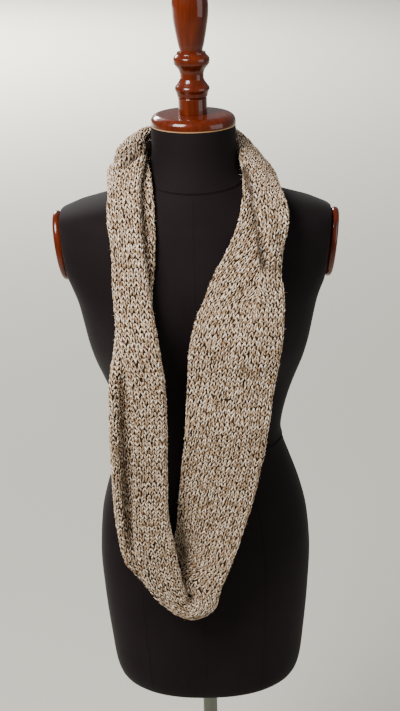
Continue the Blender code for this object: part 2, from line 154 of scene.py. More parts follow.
# Torso outlines: drop, half width, front depth, back depth, squareness of the outline
TORSO_RINGS = (
    (0, 56, -56, 56, 2.0),
    (30, 56, -57, 58, 2.0),
    (52, 59, -61, 62, 2.0),
    (66, 66, -66, 68, 2.0),
    (78, 84, -72, 76, 1.9),
    (88, 108, -77, 83, 1.9),
    (97, 134, -81, 88, 1.95),
    (105, 164, -85, 93, 2.0),
    (113, 182, -88, 97, 2.1),
    (124, 191, -93, 101, 2.2),
    (150, 192, -101, 107, 2.3),
    (180, 187, -109, 110, 2.3),
    (208, 175, -115, 109, 2.3),
    (235, 165, -118, 106, 2.25),
    (262, 159, -119, 101, 2.2),
    (291, 153, -118, 95, 2.2),
    (316, 146, -114, 89, 2.2),
    (342, 136, -108, 83, 2.2),
    (364, 128, -102, 78, 2.2),
    (388, 121, -96, 74, 2.2),
    (410, 116, -91, 72, 2.2),
    (434, 113, -89, 72, 2.2),
    (456, 117, -91, 76, 2.2),
    (480, 125, -96, 83, 2.2),
    (506, 134, -101, 92, 2.2),
    (532, 142, -106, 101, 2.25),
    (566, 150, -111, 110, 2.25),
    (601, 154, -115, 116, 2.3),
    (640, 156, -117, 119, 2.3),
    (686, 154, -117, 118, 2.3),
    (730, 151, -115, 115, 2.3),
    (774, 147, -112, 112, 2.3),
    (812, 143, -110, 110, 2.3),
    (832, 138, -106, 106, 2.3),
    (841, 131, -99, 99, 2.3),
    (845, 122, -92, 92, 2.3),
)


def linear(hex_colour: str) -> tuple[float, float, float, float]:
    """Turn an sRGB hex colour into the linear RGBA that a shader takes.

    Args:
        hex_colour: Six hex digits after a number sign.

    Returns:
        Linear red, green and blue, and an alpha of 1.
    """
    parts = [int(hex_colour[k:k + 2], 16) / 255 for k in (1, 3, 5)]
    knee, slope, offset, power = 0.04045, 12.92, 0.055, 2.4
    red, green, blue = (c / slope if c <= knee else ((c + offset) / (1 + offset)) ** power for c in parts)
    return red, green, blue, 1.0


def add_node(tree: bpy.types.NodeTree, kind: str, inputs: dict | None = None, **settings) -> bpy.types.Node:
    """Add a shader node with its settings, values and links.

    Args:
        tree: Node tree that takes the node.
        kind: Type name of the node, without its ShaderNode prefix.
        inputs: Socket name or number to a value, or to an output socket to link from.
        **settings: Properties of the node.

    Returns:
        The new node.
    """
    node = tree.nodes.new(f"ShaderNode{kind}")
    for name, value in settings.items():
        setattr(node, name, value)
    for key, value in (inputs or {}).items():
        if isinstance(value, bpy.types.NodeSocket):
            tree.links.new(value, node.inputs[key])
        else:
            node.inputs[key].default_value = value
    return node


def per(size_mm: float) -> float:
    """Give the scale of a pattern from the width of its marks.

    Args:
        size_mm: Width of a mark in millimetres.

    Returns:
        Marks in a metre.
    """
    return 1 / (size_mm * MM)


def new_finish(name: str, values: dict) -> tuple[bpy.types.Material, bpy.types.NodeTree, bpy.types.Node]:
    """Start a material.

    Args:
        name: The material's own name.
        values: Socket of the Principled shader to its value.

    Returns:
        The material, its node tree and its Principled shader.
    """
    material = bpy.data.materials.new(name)
    material.use_nodes = True
    tree = material.node_tree
    shader = tree.nodes["Principled BSDF"]
    for socket, value in values.items():
        shader.inputs[socket].default_value = value
    return material, tree, shader


def ramp(tree: bpy.types.NodeTree, factor: bpy.types.NodeSocket,
         stops: dict[float, str]) -> bpy.types.NodeSocket:
    """Add a colour ramp.

    Args:
        tree: Node tree that takes it.
        factor: What drives it.
        stops: Place from 0 to 1 to sRGB hex colour.

    Returns:
        Its colour output.
    """
    node = add_node(tree, "ValToRGB", {"Fac": factor})
    elements = node.color_ramp.elements
    for k, (place, colour) in enumerate(sorted(stops.items())):
        stop = elements[k] if k < 2 else elements.new(place)
        stop.position = place
        stop.color = linear(colour)
    return node.outputs["Color"]


def mixed(tree: bpy.types.NodeTree, factor: bpy.types.NodeSocket, first: object,
          second: object) -> bpy.types.NodeSocket:
    """Mix two colours.

    Args:
        tree: Node tree that takes the mix.
        factor: Socket that drives it.
        first: Colour value or socket at a factor of 0.
        second: Colour value or socket at a factor of 1.

    Returns:
        The mixed colour's socket. A Mix node keeps its colours in inputs 6 and 7 and output 2.
    """
    return add_node(tree, "Mix", {0: factor, 6: first, 7: second}, data_type="RGBA").outputs[2]


@dataclass(frozen=True)
class MarlYarn:
    """Two-ply marl yarn, spun wool blend: one pale ply and one brown ply twisted together.

    The eye reads slanting flecks of cream and caramel on soft matte loops with dark gaps.

    Attributes:
        cream: Pale ply at its lightest.
        oat: Pale ply at its darkest.
        greige: Brown ply at its lightest.
        caramel: Brown ply between.
        umber: Brown ply at its darkest.
        shade: Painted shade on yarn deep in the cloth and along the creases, where light doesn't reach.
        fleck_mm: Length of a fleck of colour along the loop.
        plies: Pale strokes round a leg, more than the real one, so that they show.
        fibre_mm: Thickness of the fibres that roughen the yarn.
    """

    cream: str = "#fff3e2"
    oat: str = "#c8b297"
    greige: str = "#bba589"
    caramel: str = "#997855"
    umber: str = "#674b34"
    shade: str = "#35271c"
    fleck_mm: float = 2.5
    plies: int = 2
    fibre_mm: float = 0.5

    def build(self) -> bpy.types.Material:
        """Make the yarn's material, which reads the loops' twist, tone and depth attributes; depth sets the
        painted shade.
        """
        material, tree, shader = new_finish("spun marl yarn", {
            "Roughness": 0.9, "Sheen Weight": 0.05, "Sheen Roughness": 0.5, "Specular IOR Level": 0.25
        })
        place = add_node(tree, "TexCoord").outputs["Object"]
        twist, tone, depth = (add_node(tree, "Attribute", attribute_name=name).outputs["Fac"]
                              for name in ("twist", "tone", "depth"))
        turns = add_node(tree, "Math", {0: twist, 1: self.plies * math.tau}, operation="MULTIPLY")
        wave = add_node(tree, "Math", {0: turns.outputs[0]}, operation="SINE")
        strokes = add_node(tree, "Mapping", {"Vector": place, "Scale": (1.0, 1.0, 0.45)})
        fleck = add_node(tree, "TexNoise", {"Vector": strokes.outputs[0], "Scale": per(self.fleck_mm),
                                            "Detail": 3.0, "Roughness": 0.8})
        pale = ramp(tree, fleck.outputs["Fac"], {0.44: self.oat, 0.56: self.cream})
        brown = ramp(tree, fleck.outputs["Fac"], {0.38: self.umber, 0.5: self.caramel, 0.6: self.greige})
        lean = add_node(tree, "MapRange", {"Value": tone, "To Min": -0.5, "To Max": 1.0})
        sway = add_node(tree, "Math", {0: wave.outputs[0], 1: lean.outputs[0]}, operation="ADD")
        share = add_node(tree, "MapRange", {"Value": sway.outputs[0], "From Min": -0.3, "From Max": 0.3},
                         interpolation_type="SMOOTHSTEP")
        plies = mixed(tree, share.outputs[0], pale, brown)
        # painted shade: yarn low in the cloth or along the presses' creases is mixed toward the shade colour
        sunk = add_node(tree, "MapRange", {"Value": depth, "From Min": 0.0, "From Max": 0.8,
                                           "To Min": 0.9, "To Max": 0.0}, interpolation_type="SMOOTHSTEP")
        tree.links.new(mixed(tree, sunk.outputs[0], plies, linear(self.shade)), shader.inputs["Base Color"])
        hairs = add_node(tree, "TexNoise", {"Vector": place, "Scale": per(self.fibre_mm), "Detail": 3.0})
        bump = add_node(tree, "Bump", {"Height": hairs.outputs["Fac"], "Strength": 0.5,
                                       "Distance": self.fibre_mm * MM})
        tree.links.new(bump.outputs["Normal"], shader.inputs["Normal"])
        return material


@dataclass(frozen=True)
class LoopShadow:
    """Inside of the knit between the loops: the same yarn, unlit and fuzzy, in painted shadow.

    Attributes:
        dark: Colour in the gaps.
        light: Colour where fibres cross them.
        fuzz_mm: Width of the patches of fibre.
    """

    dark: str = "#221811"
    light: str = "#423123"
    fuzz_mm: float = 3.0

    def build(self) -> bpy.types.Material:
        """Make the ground's material."""
        material, tree, shader = new_finish("knit ground in painted shadow", {"Roughness": 1.0, "Specular IOR Level": 0.1})
        place = add_node(tree, "TexCoord").outputs["Object"]
        grain = add_node(tree, "TexNoise", {"Vector": place, "Scale": per(self.fuzz_mm), "Detail": 2.0})
        tree.links.new(ramp(tree, grain.outputs["Fac"], {0.4: self.dark, 0.6: self.light}),
                       shader.inputs["Base Color"])
        return material


@dataclass(frozen=True)
class FormJersey:
    """Black cotton jersey pulled tight over the form: matte, with a fine slanting rib.

    Attributes:
        colour: The cloth where it is fresh.
        worn: The cloth where it has faded.
        fade_mm: Width of the faded patches.
        rib_mm: Spacing of the rib, coarser than the real 0.7 mm, so that it shows.
        rib_scale: Bands of the wave in a unit of its scale.
        lint_mm: Width of the specks of lint.
    """

    colour: str = "#150f11"
    worn: str = "#1a1416"
    fade_mm: float = 111.0
    rib_mm: float = 1.6
    rib_scale: float = 0.3
    lint_mm: float = 1.11

    def build(self) -> bpy.types.Material:
        """Make the cover's material."""
        material, tree, shader = new_finish("black cotton jersey", {
            "Roughness": 0.75, "Specular IOR Level": 0.07, "Sheen Weight": 0.04, "Sheen Roughness": 0.4
        })
        place = add_node(tree, "TexCoord").outputs["Object"]
        fading = add_node(tree, "TexNoise", {"Vector": place, "Scale": per(self.fade_mm), "Detail": 3.0})
        tree.links.new(ramp(tree, fading.outputs["Fac"], {0.35: self.colour, 0.7: self.worn}),
                       shader.inputs["Base Color"])
        rib = add_node(tree, "TexWave", {"Vector": place, "Scale": self.rib_scale * per(self.rib_mm),
                                         "Distortion": 1.5, "Detail": 1.0}, bands_direction="DIAGONAL")
        lint = add_node(tree, "TexNoise", {"Vector": place, "Scale": per(self.lint_mm), "Detail": 2.0})
        weave = add_node(tree, "Math", {0: rib.outputs["Fac"], 1: lint.outputs["Fac"]}, operation="ADD")
        bump = add_node(tree, "Bump", {"Height": weave.outputs[0], "Strength": 0.18, "Distance": 0.0004})
        tree.links.new(bump.outputs["Normal"], shader.inputs["Normal"])
        return material


@dataclass(frozen=True)
class VarnishedMahogany:
    """Turned mahogany, stained red and varnished: faint long grain under a clear gloss.

    The sharp lower rim of the neck cap is rubbed bare, so it shows as a thin tan line.

    Attributes:
        light: Stain on the lightest grain.
        middle: Stain between.
        dark: Stain on the darkest grain.
        bare: Wood where the varnish is rubbed off.
        bare_z: Heights between which the bare rim turns into stained wood.
        grain_mm: Width of the grain's figure.
        pore_mm: Width of the pores.
    """

    light: str = "#602003"
    middle: str = "#531901"
    dark: str = "#451301"
    bare: str = "#c39a6c"
    bare_z: tuple[float, float] = (1350.9, 1351.9)
    grain_mm: float = 6.0
    pore_mm: float = 1.11

    def build(self) -> bpy.types.Material:
        """Make the wood's material, its grain running upward through the turned pieces."""
        material, tree, shader = new_finish("varnished mahogany", {
            "Roughness": 0.3, "Specular IOR Level": 0.1, "Coat Weight": 0.7, "Coat Roughness": 0.05
        })
        place = add_node(tree, "TexCoord").outputs["Object"]
        long_grain = add_node(tree, "Mapping", {"Vector": place, "Scale": (1.0, 1.0, 0.07)})
        figure = add_node(tree, "TexNoise", {"Vector": long_grain.outputs[0], "Scale": per(self.grain_mm),
                                             "Detail": 4.0, "Distortion": 0.4})
        stain = ramp(tree, figure.outputs["Fac"], {0.3: self.dark, 0.5: self.middle, 0.72: self.light})
        height = add_node(tree, "SeparateXYZ", {"Vector": place}).outputs["Z"]
        above = add_node(tree, "MapRange", {"Value": height, "From Min": self.bare_z[0] * MM,
                                            "From Max": self.bare_z[1] * MM})
        cap = add_node(tree, "Math", {0: height, 1: RIM * MM}, operation="GREATER_THAN")
        covered = add_node(tree, "Math", {0: 1.0, 1: cap.outputs[0]}, operation="SUBTRACT")
        stained = add_node(tree, "Math", {0: above.outputs[0], 1: covered.outputs[0]}, operation="MAXIMUM")
        tree.links.new(mixed(tree, stained.outputs[0], linear(self.bare), stain), shader.inputs["Base Color"])
        pores = add_node(tree, "TexNoise", {"Vector": long_grain.outputs[0], "Scale": per(self.pore_mm),
                                            "Detail": 1.0})
        bump = add_node(tree, "Bump", {"Height": pores.outputs["Fac"], "Strength": 0.06, "Distance": 0.0002})
        tree.links.new(bump.outputs["Normal"], shader.inputs["Normal"])
        return material


@dataclass(frozen=True)
class SatinSteel:
    """Steel tube and plate, brushed and clear lacquered: a soft grey-green sheen.

    Attributes:
        colour: The lacquered metal.
        scratch_mm: Width of the brush marks.
    """

    colour: str = "#656862"
    scratch_mm: float = 0.4

    def build(self) -> bpy.types.Material:
        """Make the steel's material."""
        material, tree, shader = new_finish("satin brushed steel", {
            "Base Color": linear(self.colour), "Metallic": 1.0
        })
        place = add_node(tree, "TexCoord").outputs["Object"]
        brushed = add_node(tree, "Mapping", {"Vector": place, "Scale": (1.0, 1.0, 0.03)})
        lines = add_node(tree, "TexNoise", {"Vector": brushed.outputs[0], "Scale": per(self.scratch_mm),
                                            "Detail": 2.0})
        rough = add_node(tree, "MapRange", {"Value": lines.outputs["Fac"], "To Min": 0.26, "To Max": 0.42})
        tree.links.new(rough.outputs[0], shader.inputs["Roughness"])
        bump = add_node(tree, "Bump", {"Height": lines.outputs["Fac"], "Strength": 0.05, "Distance": 0.0001})
        tree.links.new(bump.outputs["Normal"], shader.inputs["Normal"])
        return material


@dataclass(frozen=True)
class StudioFloor:
    """Pale matte paint on a smooth floor.

    Attributes:
        colour: The paint.
        wave_mm: Width of the floor's soft waves.
    """

    colour: str = "#d9d7cb"
    wave_mm: float = 333.0

    def build(self) -> bpy.types.Material:
        """Make the floor's material."""
        material, tree, shader = new_finish("pale matte paint", {
            "Base Color": linear(self.colour), "Roughness": 0.9, "Specular IOR Level": 0.1
        })
        place = add_node(tree, "TexCoord").outputs["Object"]
        waves = add_node(tree, "TexNoise", {"Vector": place, "Scale": per(self.wave_mm), "Detail": 6.0})
        bump = add_node(tree, "Bump", {"Height": waves.outputs["Fac"], "Strength": 0.1, "Distance": 0.01})
        tree.links.new(bump.outputs["Normal"], shader.inputs["Normal"])
        return material


def link_mesh(name: str, mesh: bpy.types.Mesh, material: bpy.types.Material,
              replaces: tuple[str, ...] = ()) -> bpy.types.Object:
    """Make a mesh a piece of the model.

    Args:
        name: The piece's name.
        mesh: Its mesh, in metres.
        material: Its finish.
        replaces: CAD nodes that the piece stands for.

    Returns:
        The piece's object.
    """
    mesh.materials.append(material)
    obj = bpy.data.objects.new(name, mesh)
    bpy.context.scene.collection.objects.link(obj)
    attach(obj, BODY)
    if replaces:
        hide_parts(*replaces)
    LOG.info("%s: %d faces", name, len(mesh.polygons))
    return obj


def mesh_from(name: str, bm: bmesh.types.BMesh, sharp: float) -> bpy.types.Mesh:
    """Write a bmesh in millimetres as a smooth mesh in metres.

    Args:
        name: The mesh's name.
        bm: The shape, which is freed.
        sharp: Angle in degrees past which an edge stays crisp.

    Returns:
        The mesh.
    """
    bmesh.ops.recalc_face_normals(bm, faces=bm.faces)
    bmesh.ops.scale(bm, vec=(MM, MM, MM), verts=bm.verts)
    mesh = bpy.data.meshes.new(name)
    bm.to_mesh(mesh)
    bm.free()
    mesh.shade_smooth()
    mesh.set_sharp_from_angle(angle=math.radians(sharp))
    return mesh


def curve_through(where: np.ndarray, places: np.ndarray, values: np.ndarray) -> np.ndarray:
    """Read a smooth curve through values at places, with slopes from the neighbours.

    Args:
        where: Places to read.
        places: Rising places of the values; one more lies beyond each end that is read.
        values: One value for each place.

    Returns:
        The curve's values.
    """
    slope = (values[2:] - values[:-2]) / (places[2:] - places[:-2])
    slope = np.concatenate([[0], slope, [0]])
    i = np.clip(np.searchsorted(places, where) - 1, 1, len(places) - 3)
    step = places[i + 1] - places[i]
    t = (where - places[i]) / step
    start = (1 + 2 * t) * (1 - t) ** 2 * values[i] + t * (1 - t) ** 2 * step * slope[i]
    end = t * t * (3 - 2 * t) * values[i + 1] + t * t * (t - 1) * step * slope[i + 1]
    return start + end


def monotone(at: float, xs: np.ndarray, ys: np.ndarray) -> float:
    """Read a smooth curve through (xs, ys) that adds no bumps of its own.

    Args:
        at: Place to read.
        xs: Rising places of the values.
        ys: One value for each place.

    Returns:
        The curve's value there.
    """
    step = np.diff(xs)
    slope = np.diff(ys) / step
    tangent = np.zeros(len(ys))
    tangent[0], tangent[-1] = slope[0], slope[-1]
    for k in range(1, len(ys) - 1):
        if slope[k - 1] * slope[k] > 0:
            near, far = 2 * step[k] + step[k - 1], step[k] + 2 * step[k - 1]
            tangent[k] = (near + far) / (near / slope[k - 1] + far / slope[k])
    i = int(np.clip(np.searchsorted(xs, at) - 1, 0, len(xs) - 2))
    t = (at - xs[i]) / step[i]
    start = (1 + 2 * t) * (1 - t) ** 2 * ys[i] + t * (1 - t) ** 2 * step[i] * tangent[i]
    return start + t * t * (3 - 2 * t) * ys[i + 1] + t * t * (t - 1) * step[i] * tangent[i + 1]


def rounded_line(points: list[tuple[float, float]], pieces: int) -> np.ndarray:
    """Round a control polygon into a smooth line that starts and ends on it.

    Args:
        points: Corners of the polygon.
        pieces: Straight pieces to each corner.

    Returns:
        Points along the line.
    """
    corners = np.asarray(points, float)
    middles = (corners[:-1] + corners[1:]) / 2
    starts = np.vstack([corners[:1], middles[1:-1], corners[-1:]])
    line = [starts[0]]
    for k, corner in enumerate(corners[1:-1]):
        for t in np.arange(1, pieces + 1) / pieces:
            line.append((1 - t) ** 2 * starts[k] + 2 * t * (1 - t) * corner + t * t * starts[k + 1])
    return np.array(line)


@dataclass
class FoldedTube:
    """The flat knitted tube along its loop: three layers folded over each other.

    Attributes:
        form: Surface of the dress form that the seated sections rest on.
        wall: Both knitted layers of the flat tube together.
        fold_reach: How far a fold's rounding reaches along a layer.
        open_reach: Half the width of the slope where a fold opens up.
        roll_reach: How far the valley lies from a back fold that rolls forward.
        roll_share: Part of the layer between the folds that the valley stays within.
        valley_depth: Depth of the valley, as a part of the roll's height.
        lean_share: How far the layer between two folds leans, as a part of the spacing.
        clearance: Least space between the cloth and the form.
        station: Distance between the places where the seat is worked out.
        seat_rounds: Rounds of seating.
        grazing: Least share of the clearance that counts along the way forward.
        aim: How far along the loop the way forward is read from, to each side.
        pieces: Straight pieces to each rounded corner of the outline.
        edge_steps: Points on its rounded edges.
        seat_pieces: Straight pieces for the coarse outline that is seated.
        seat_span: Stations that the seat is evened over.
    """

    form: BVHTree
    wall: float = 6.0
    fold_reach: float = 6.0
    open_reach: float = 3.0
    roll_reach: float = 15.0
    roll_share: float = 0.35
    valley_depth: float = 0.3
    lean_share: float = 0.35
    clearance: float = 1.3
    station: float = 22.0
    seat_rounds: int = 6
    grazing: float = 0.35
    aim: float = 4.0
    pieces: int = 6
    edge_steps: int = 5
    seat_pieces: int = 2
    seat_span: int = 5

    def __post_init__(self) -> None:
        """Close the table on itself and seat the sections on the form."""
        rows = np.array([[s.x, s.y, RIM - s.drop, s.out_x, s.out_y, s.out_up, s.top, s.front_fold,
                          s.back_fold, s.under, s.spacing, s.bow, s.roll, s.seated] for s in LOOP], float)
        self.before, self.after = 3, 4
        self.rows = np.vstack([rows[-self.before:], rows, rows[:self.after]])
        steps = np.linalg.norm(np.diff(self.rows[:, :3], axis=0), axis=1)
        length = np.concatenate([[0], np.cumsum(steps)])
        self.places = length - length[self.before]
        self.round = self.places[-self.after]
        self.start_of = {s.name: self.places[k + self.before] for k, s in enumerate(LOOP)}
        self.seat_places = np.arange(0, self.round, self.round / round(self.round / self.station))
        self.seat_lift = self.seat()

    def frames(self, where: np.ndarray) -> tuple[np.ndarray, ...]:
        """Read the sections at distances along the loop.

        Args:
            where: Distances along the loop.

        Returns:
            Middle points, the ways outward and forward, the outline's numbers, and how far
            each section rests on the form.
        """
        where = np.mod(where, self.round)
        values = np.stack([curve_through(where, self.places, c) for c in self.rows.T], axis=1)
        ahead, behind = (np.stack([curve_through(where + d, self.places, c) for c in self.rows.T[:3]], axis=1)
                         for d in (self.aim, -self.aim))
        outward = values[:, OUTWARD] / np.linalg.norm(values[:, OUTWARD], axis=1)[:, None]
        forward = np.cross(outward, ahead - behind)
        forward /= np.linalg.norm(forward, axis=1)[:, None]
        return values[:, :3], outward, forward, values[:, OUTLINE], values[:, SEATED]

    def fold_line(self, numbers: np.ndarray, pieces: int) -> np.ndarray:
        """Middle line of the folded cloth across one section.

        Args:
            numbers: Top edge, front fold, back fold, under edge, spacing, bow and roll.
            pieces: Straight pieces to each rounded corner.

        Returns:
            Points as outward and forward distances.
        """
        top, front, back, under, gap, bow, roll = numbers
        turn = np.clip((back - front) / (2 * self.fold_reach), -1, 1)
        lean = self.lean_share * gap * (1 - abs(turn))
        reach = self.fold_reach * turn
        valley = np.copysign(max(abs(reach), min(self.roll_reach, self.roll_share * abs(back - front))), turn)
        slope = self.open_reach * max(0, -turn)
        line = rounded_line([
            (top, gap),
            ((top + front) / 2, gap),
            (front + self.fold_reach, gap),
            (front + slope, gap),
            (front - slope, lean),
            (front + reach, lean / 2),
            ((front + back) / 2, 0),
            (back - valley, -lean / 4 - self.valley_depth * roll),
            (back - reach, roll - lean / 2),
            (back + slope, roll - lean),
            (back - slope, -gap),
            (back - self.fold_reach, -gap),
            ((under + back) / 2, -gap),
            (under, -gap),
        ], pieces)
        middle = (line[:, 0].max() + line[:, 0].min()) / 2
        half = (line[:, 0].max() - line[:, 0].min()) / 2
        line[:, 1] += bow * (1 - ((line[:, 0] - middle) / half) ** 2)
        return line

    def outline(self, numbers: np.ndarray, reach: float, pieces: int) -> tuple[np.ndarray, float]:
        """Closed outline round the flat tube, from its top edge over the front and back again.

        Args:
            numbers: The section's numbers.
            reach: Distance from the cloth's middle line to the outline.
            pieces: Straight pieces to each rounded corner.

        Returns:
            Points of the outline, which ends where it starts, and the length to the under edge.
        """
        line = self.fold_line(numbers, pieces)
        way = np.gradient(line, axis=0)
        way /= np.linalg.norm(way, axis=1)[:, None]
        side = np.stack([way[:, 1], -way[:, 0]], axis=1)
        turn = np.linspace(0, math.pi / 2, self.edge_steps)[1:-1, None]
        tip = line[0] - way[0] * reach
        tail = line[-1] + way[-1] * reach
        rise = line[0] + reach * (side[0] * np.sin(turn) - way[0] * np.cos(turn))
        fall = line[-1] + reach * (side[-1] * np.cos(turn) + way[-1] * np.sin(turn))
        climb = line[-1] + reach * (way[-1] * np.cos(turn) - side[-1] * np.sin(turn))
        drop = line[0] + reach * (-side[0] * np.cos(turn) - way[0] * np.sin(turn))
        front = np.vstack([[tip], rise, line + side * reach, fall, [tail]])
        back = np.vstack([climb, (line - side * reach)[::-1], drop, [tip]])
        return np.vstack([front, back]), np.linalg.norm(np.diff(front, axis=0), axis=1).sum()

    def seat(self) -> np.ndarray:
        """Work out how far each station moves forward to rest just clear of the form."""
        middle, outward, forward, numbers, seated = self.frames(self.seat_places)
        lift = np.zeros(len(middle))
        for k in range(len(middle)):
            flat, _ = self.outline(numbers[k], self.wall / 2, self.seat_pieces)
            points = middle[k] + flat[:, :1] * outward[k] + flat[:, 1:] * forward[k]
            for _ in range(self.seat_rounds):
                lift[k] += self.shortfall(points + lift[k] * forward[k], Vector(forward[k]))
        lift = np.where(lift > 0, lift, lift * np.clip(seated, 0, 1))
        side = self.seat_span // 2
        around = np.concatenate([lift[-side:], lift, lift[:side]])
        wide = np.convolve(around, np.ones(self.seat_span) / self.seat_span, mode="valid")
        return np.maximum(lift, wide)

    def shortfall(self, points: np.ndarray, forward: Vector) -> float:
        """How far forward an outline still has to move to clear the form.

        Args:
            points: The outline in space.
            forward: The way that it moves.

        Returns:
            The distance, below 0 where there is room to spare.
        """
        needed = -math.inf
        for point in points:
            spot, normal, _, distance = self.form.find_nearest(Vector(point))
            gap = math.copysign(distance, (Vector(point) - spot).dot(normal))
            needed = max(needed, (self.clearance - gap) / max(normal.dot(forward), self.grazing))
        return needed

    def lift_at(self, where: np.ndarray) -> np.ndarray:
        """Seat lift at distances along the loop, read from a smooth curve through the stations."""
        places = np.concatenate([self.seat_places[-2:] - self.round, self.seat_places,
                                 self.seat_places[:3] + self.round])
        lift = np.concatenate([self.seat_lift[-2:], self.seat_lift, self.seat_lift[:3]])
        return curve_through(np.mod(where, self.round), places, lift)

    def surface(self, where: np.ndarray, reach: float) -> tuple[list[np.ndarray], list[np.ndarray], np.ndarray]:
        """Outlines in space at distances along the loop.

        Args:
            where: Distances along the loop.
            reach: Distance from the cloth's middle line to the surface.

        Returns:
            The closed outlines, the length along each, and each one's length to the under edge.
        """
        middle, outward, forward, numbers, _ = self.frames(where)
        middle = middle + self.lift_at(where)[:, None] * forward
        outlines, lengths, fronts = [], [], []
        for k in range(len(where)):
            flat, front = self.outline(numbers[k], reach, self.pieces)
            points = middle[k] + flat[:, :1] * outward[k] + flat[:, 1:] * forward[k]
            outlines.append(points)
            lengths.append(np.concatenate([[0], np.cumsum(np.linalg.norm(np.diff(flat, axis=0), axis=1))]))
            fronts.append(front)
        return outlines, lengths, np.array(fronts)


@dataclass(frozen=True)
class Press:
    """A crease or dimple of the soft cloth, which can also paint shade on the yarn along it.

    Attributes:
        path: Its line of (x, y, drop) points.
        radius: How far from the line it reaches.
        push: How far the cloth moves there.
        shade: How much painted shade darkens the yarn there, from 0 to 1.
    """

    path: tuple[tuple[float, float, float], ...]
    radius: float
    push: tuple[float, float, float]
    shade: float = 0.0

    def weight(self, points: np.ndarray) -> np.ndarray:
        """Work out how strongly the press acts on points of the cloth.

        Args:
            points: Points in millimetres, in the last axis.

        Returns:
            A weight for each point, 1 on the line and 0 far from it, in a last axis of 1.
        """
        path = np.array([(x, y, RIM - drop) for x, y, drop in self.path])
        nearest = np.full(points.shape[:-1], np.inf)
        for start, end in zip(path, path[1:] if len(path) > 1 else path):
            way = end - start
            along = np.clip((points - start) @ way / max(way @ way, TINY), 0, 1)
            nearest = np.minimum(nearest, np.linalg.norm(points - start - along[..., None] * way, axis=-1))
        return np.exp(-(nearest / self.radius) ** 2)[..., None]

    def move(self, points: np.ndarray) -> np.ndarray:
        """Work out how far points of the cloth move, in the same axes as the points."""
        return self.weight(points) * np.array(self.push)


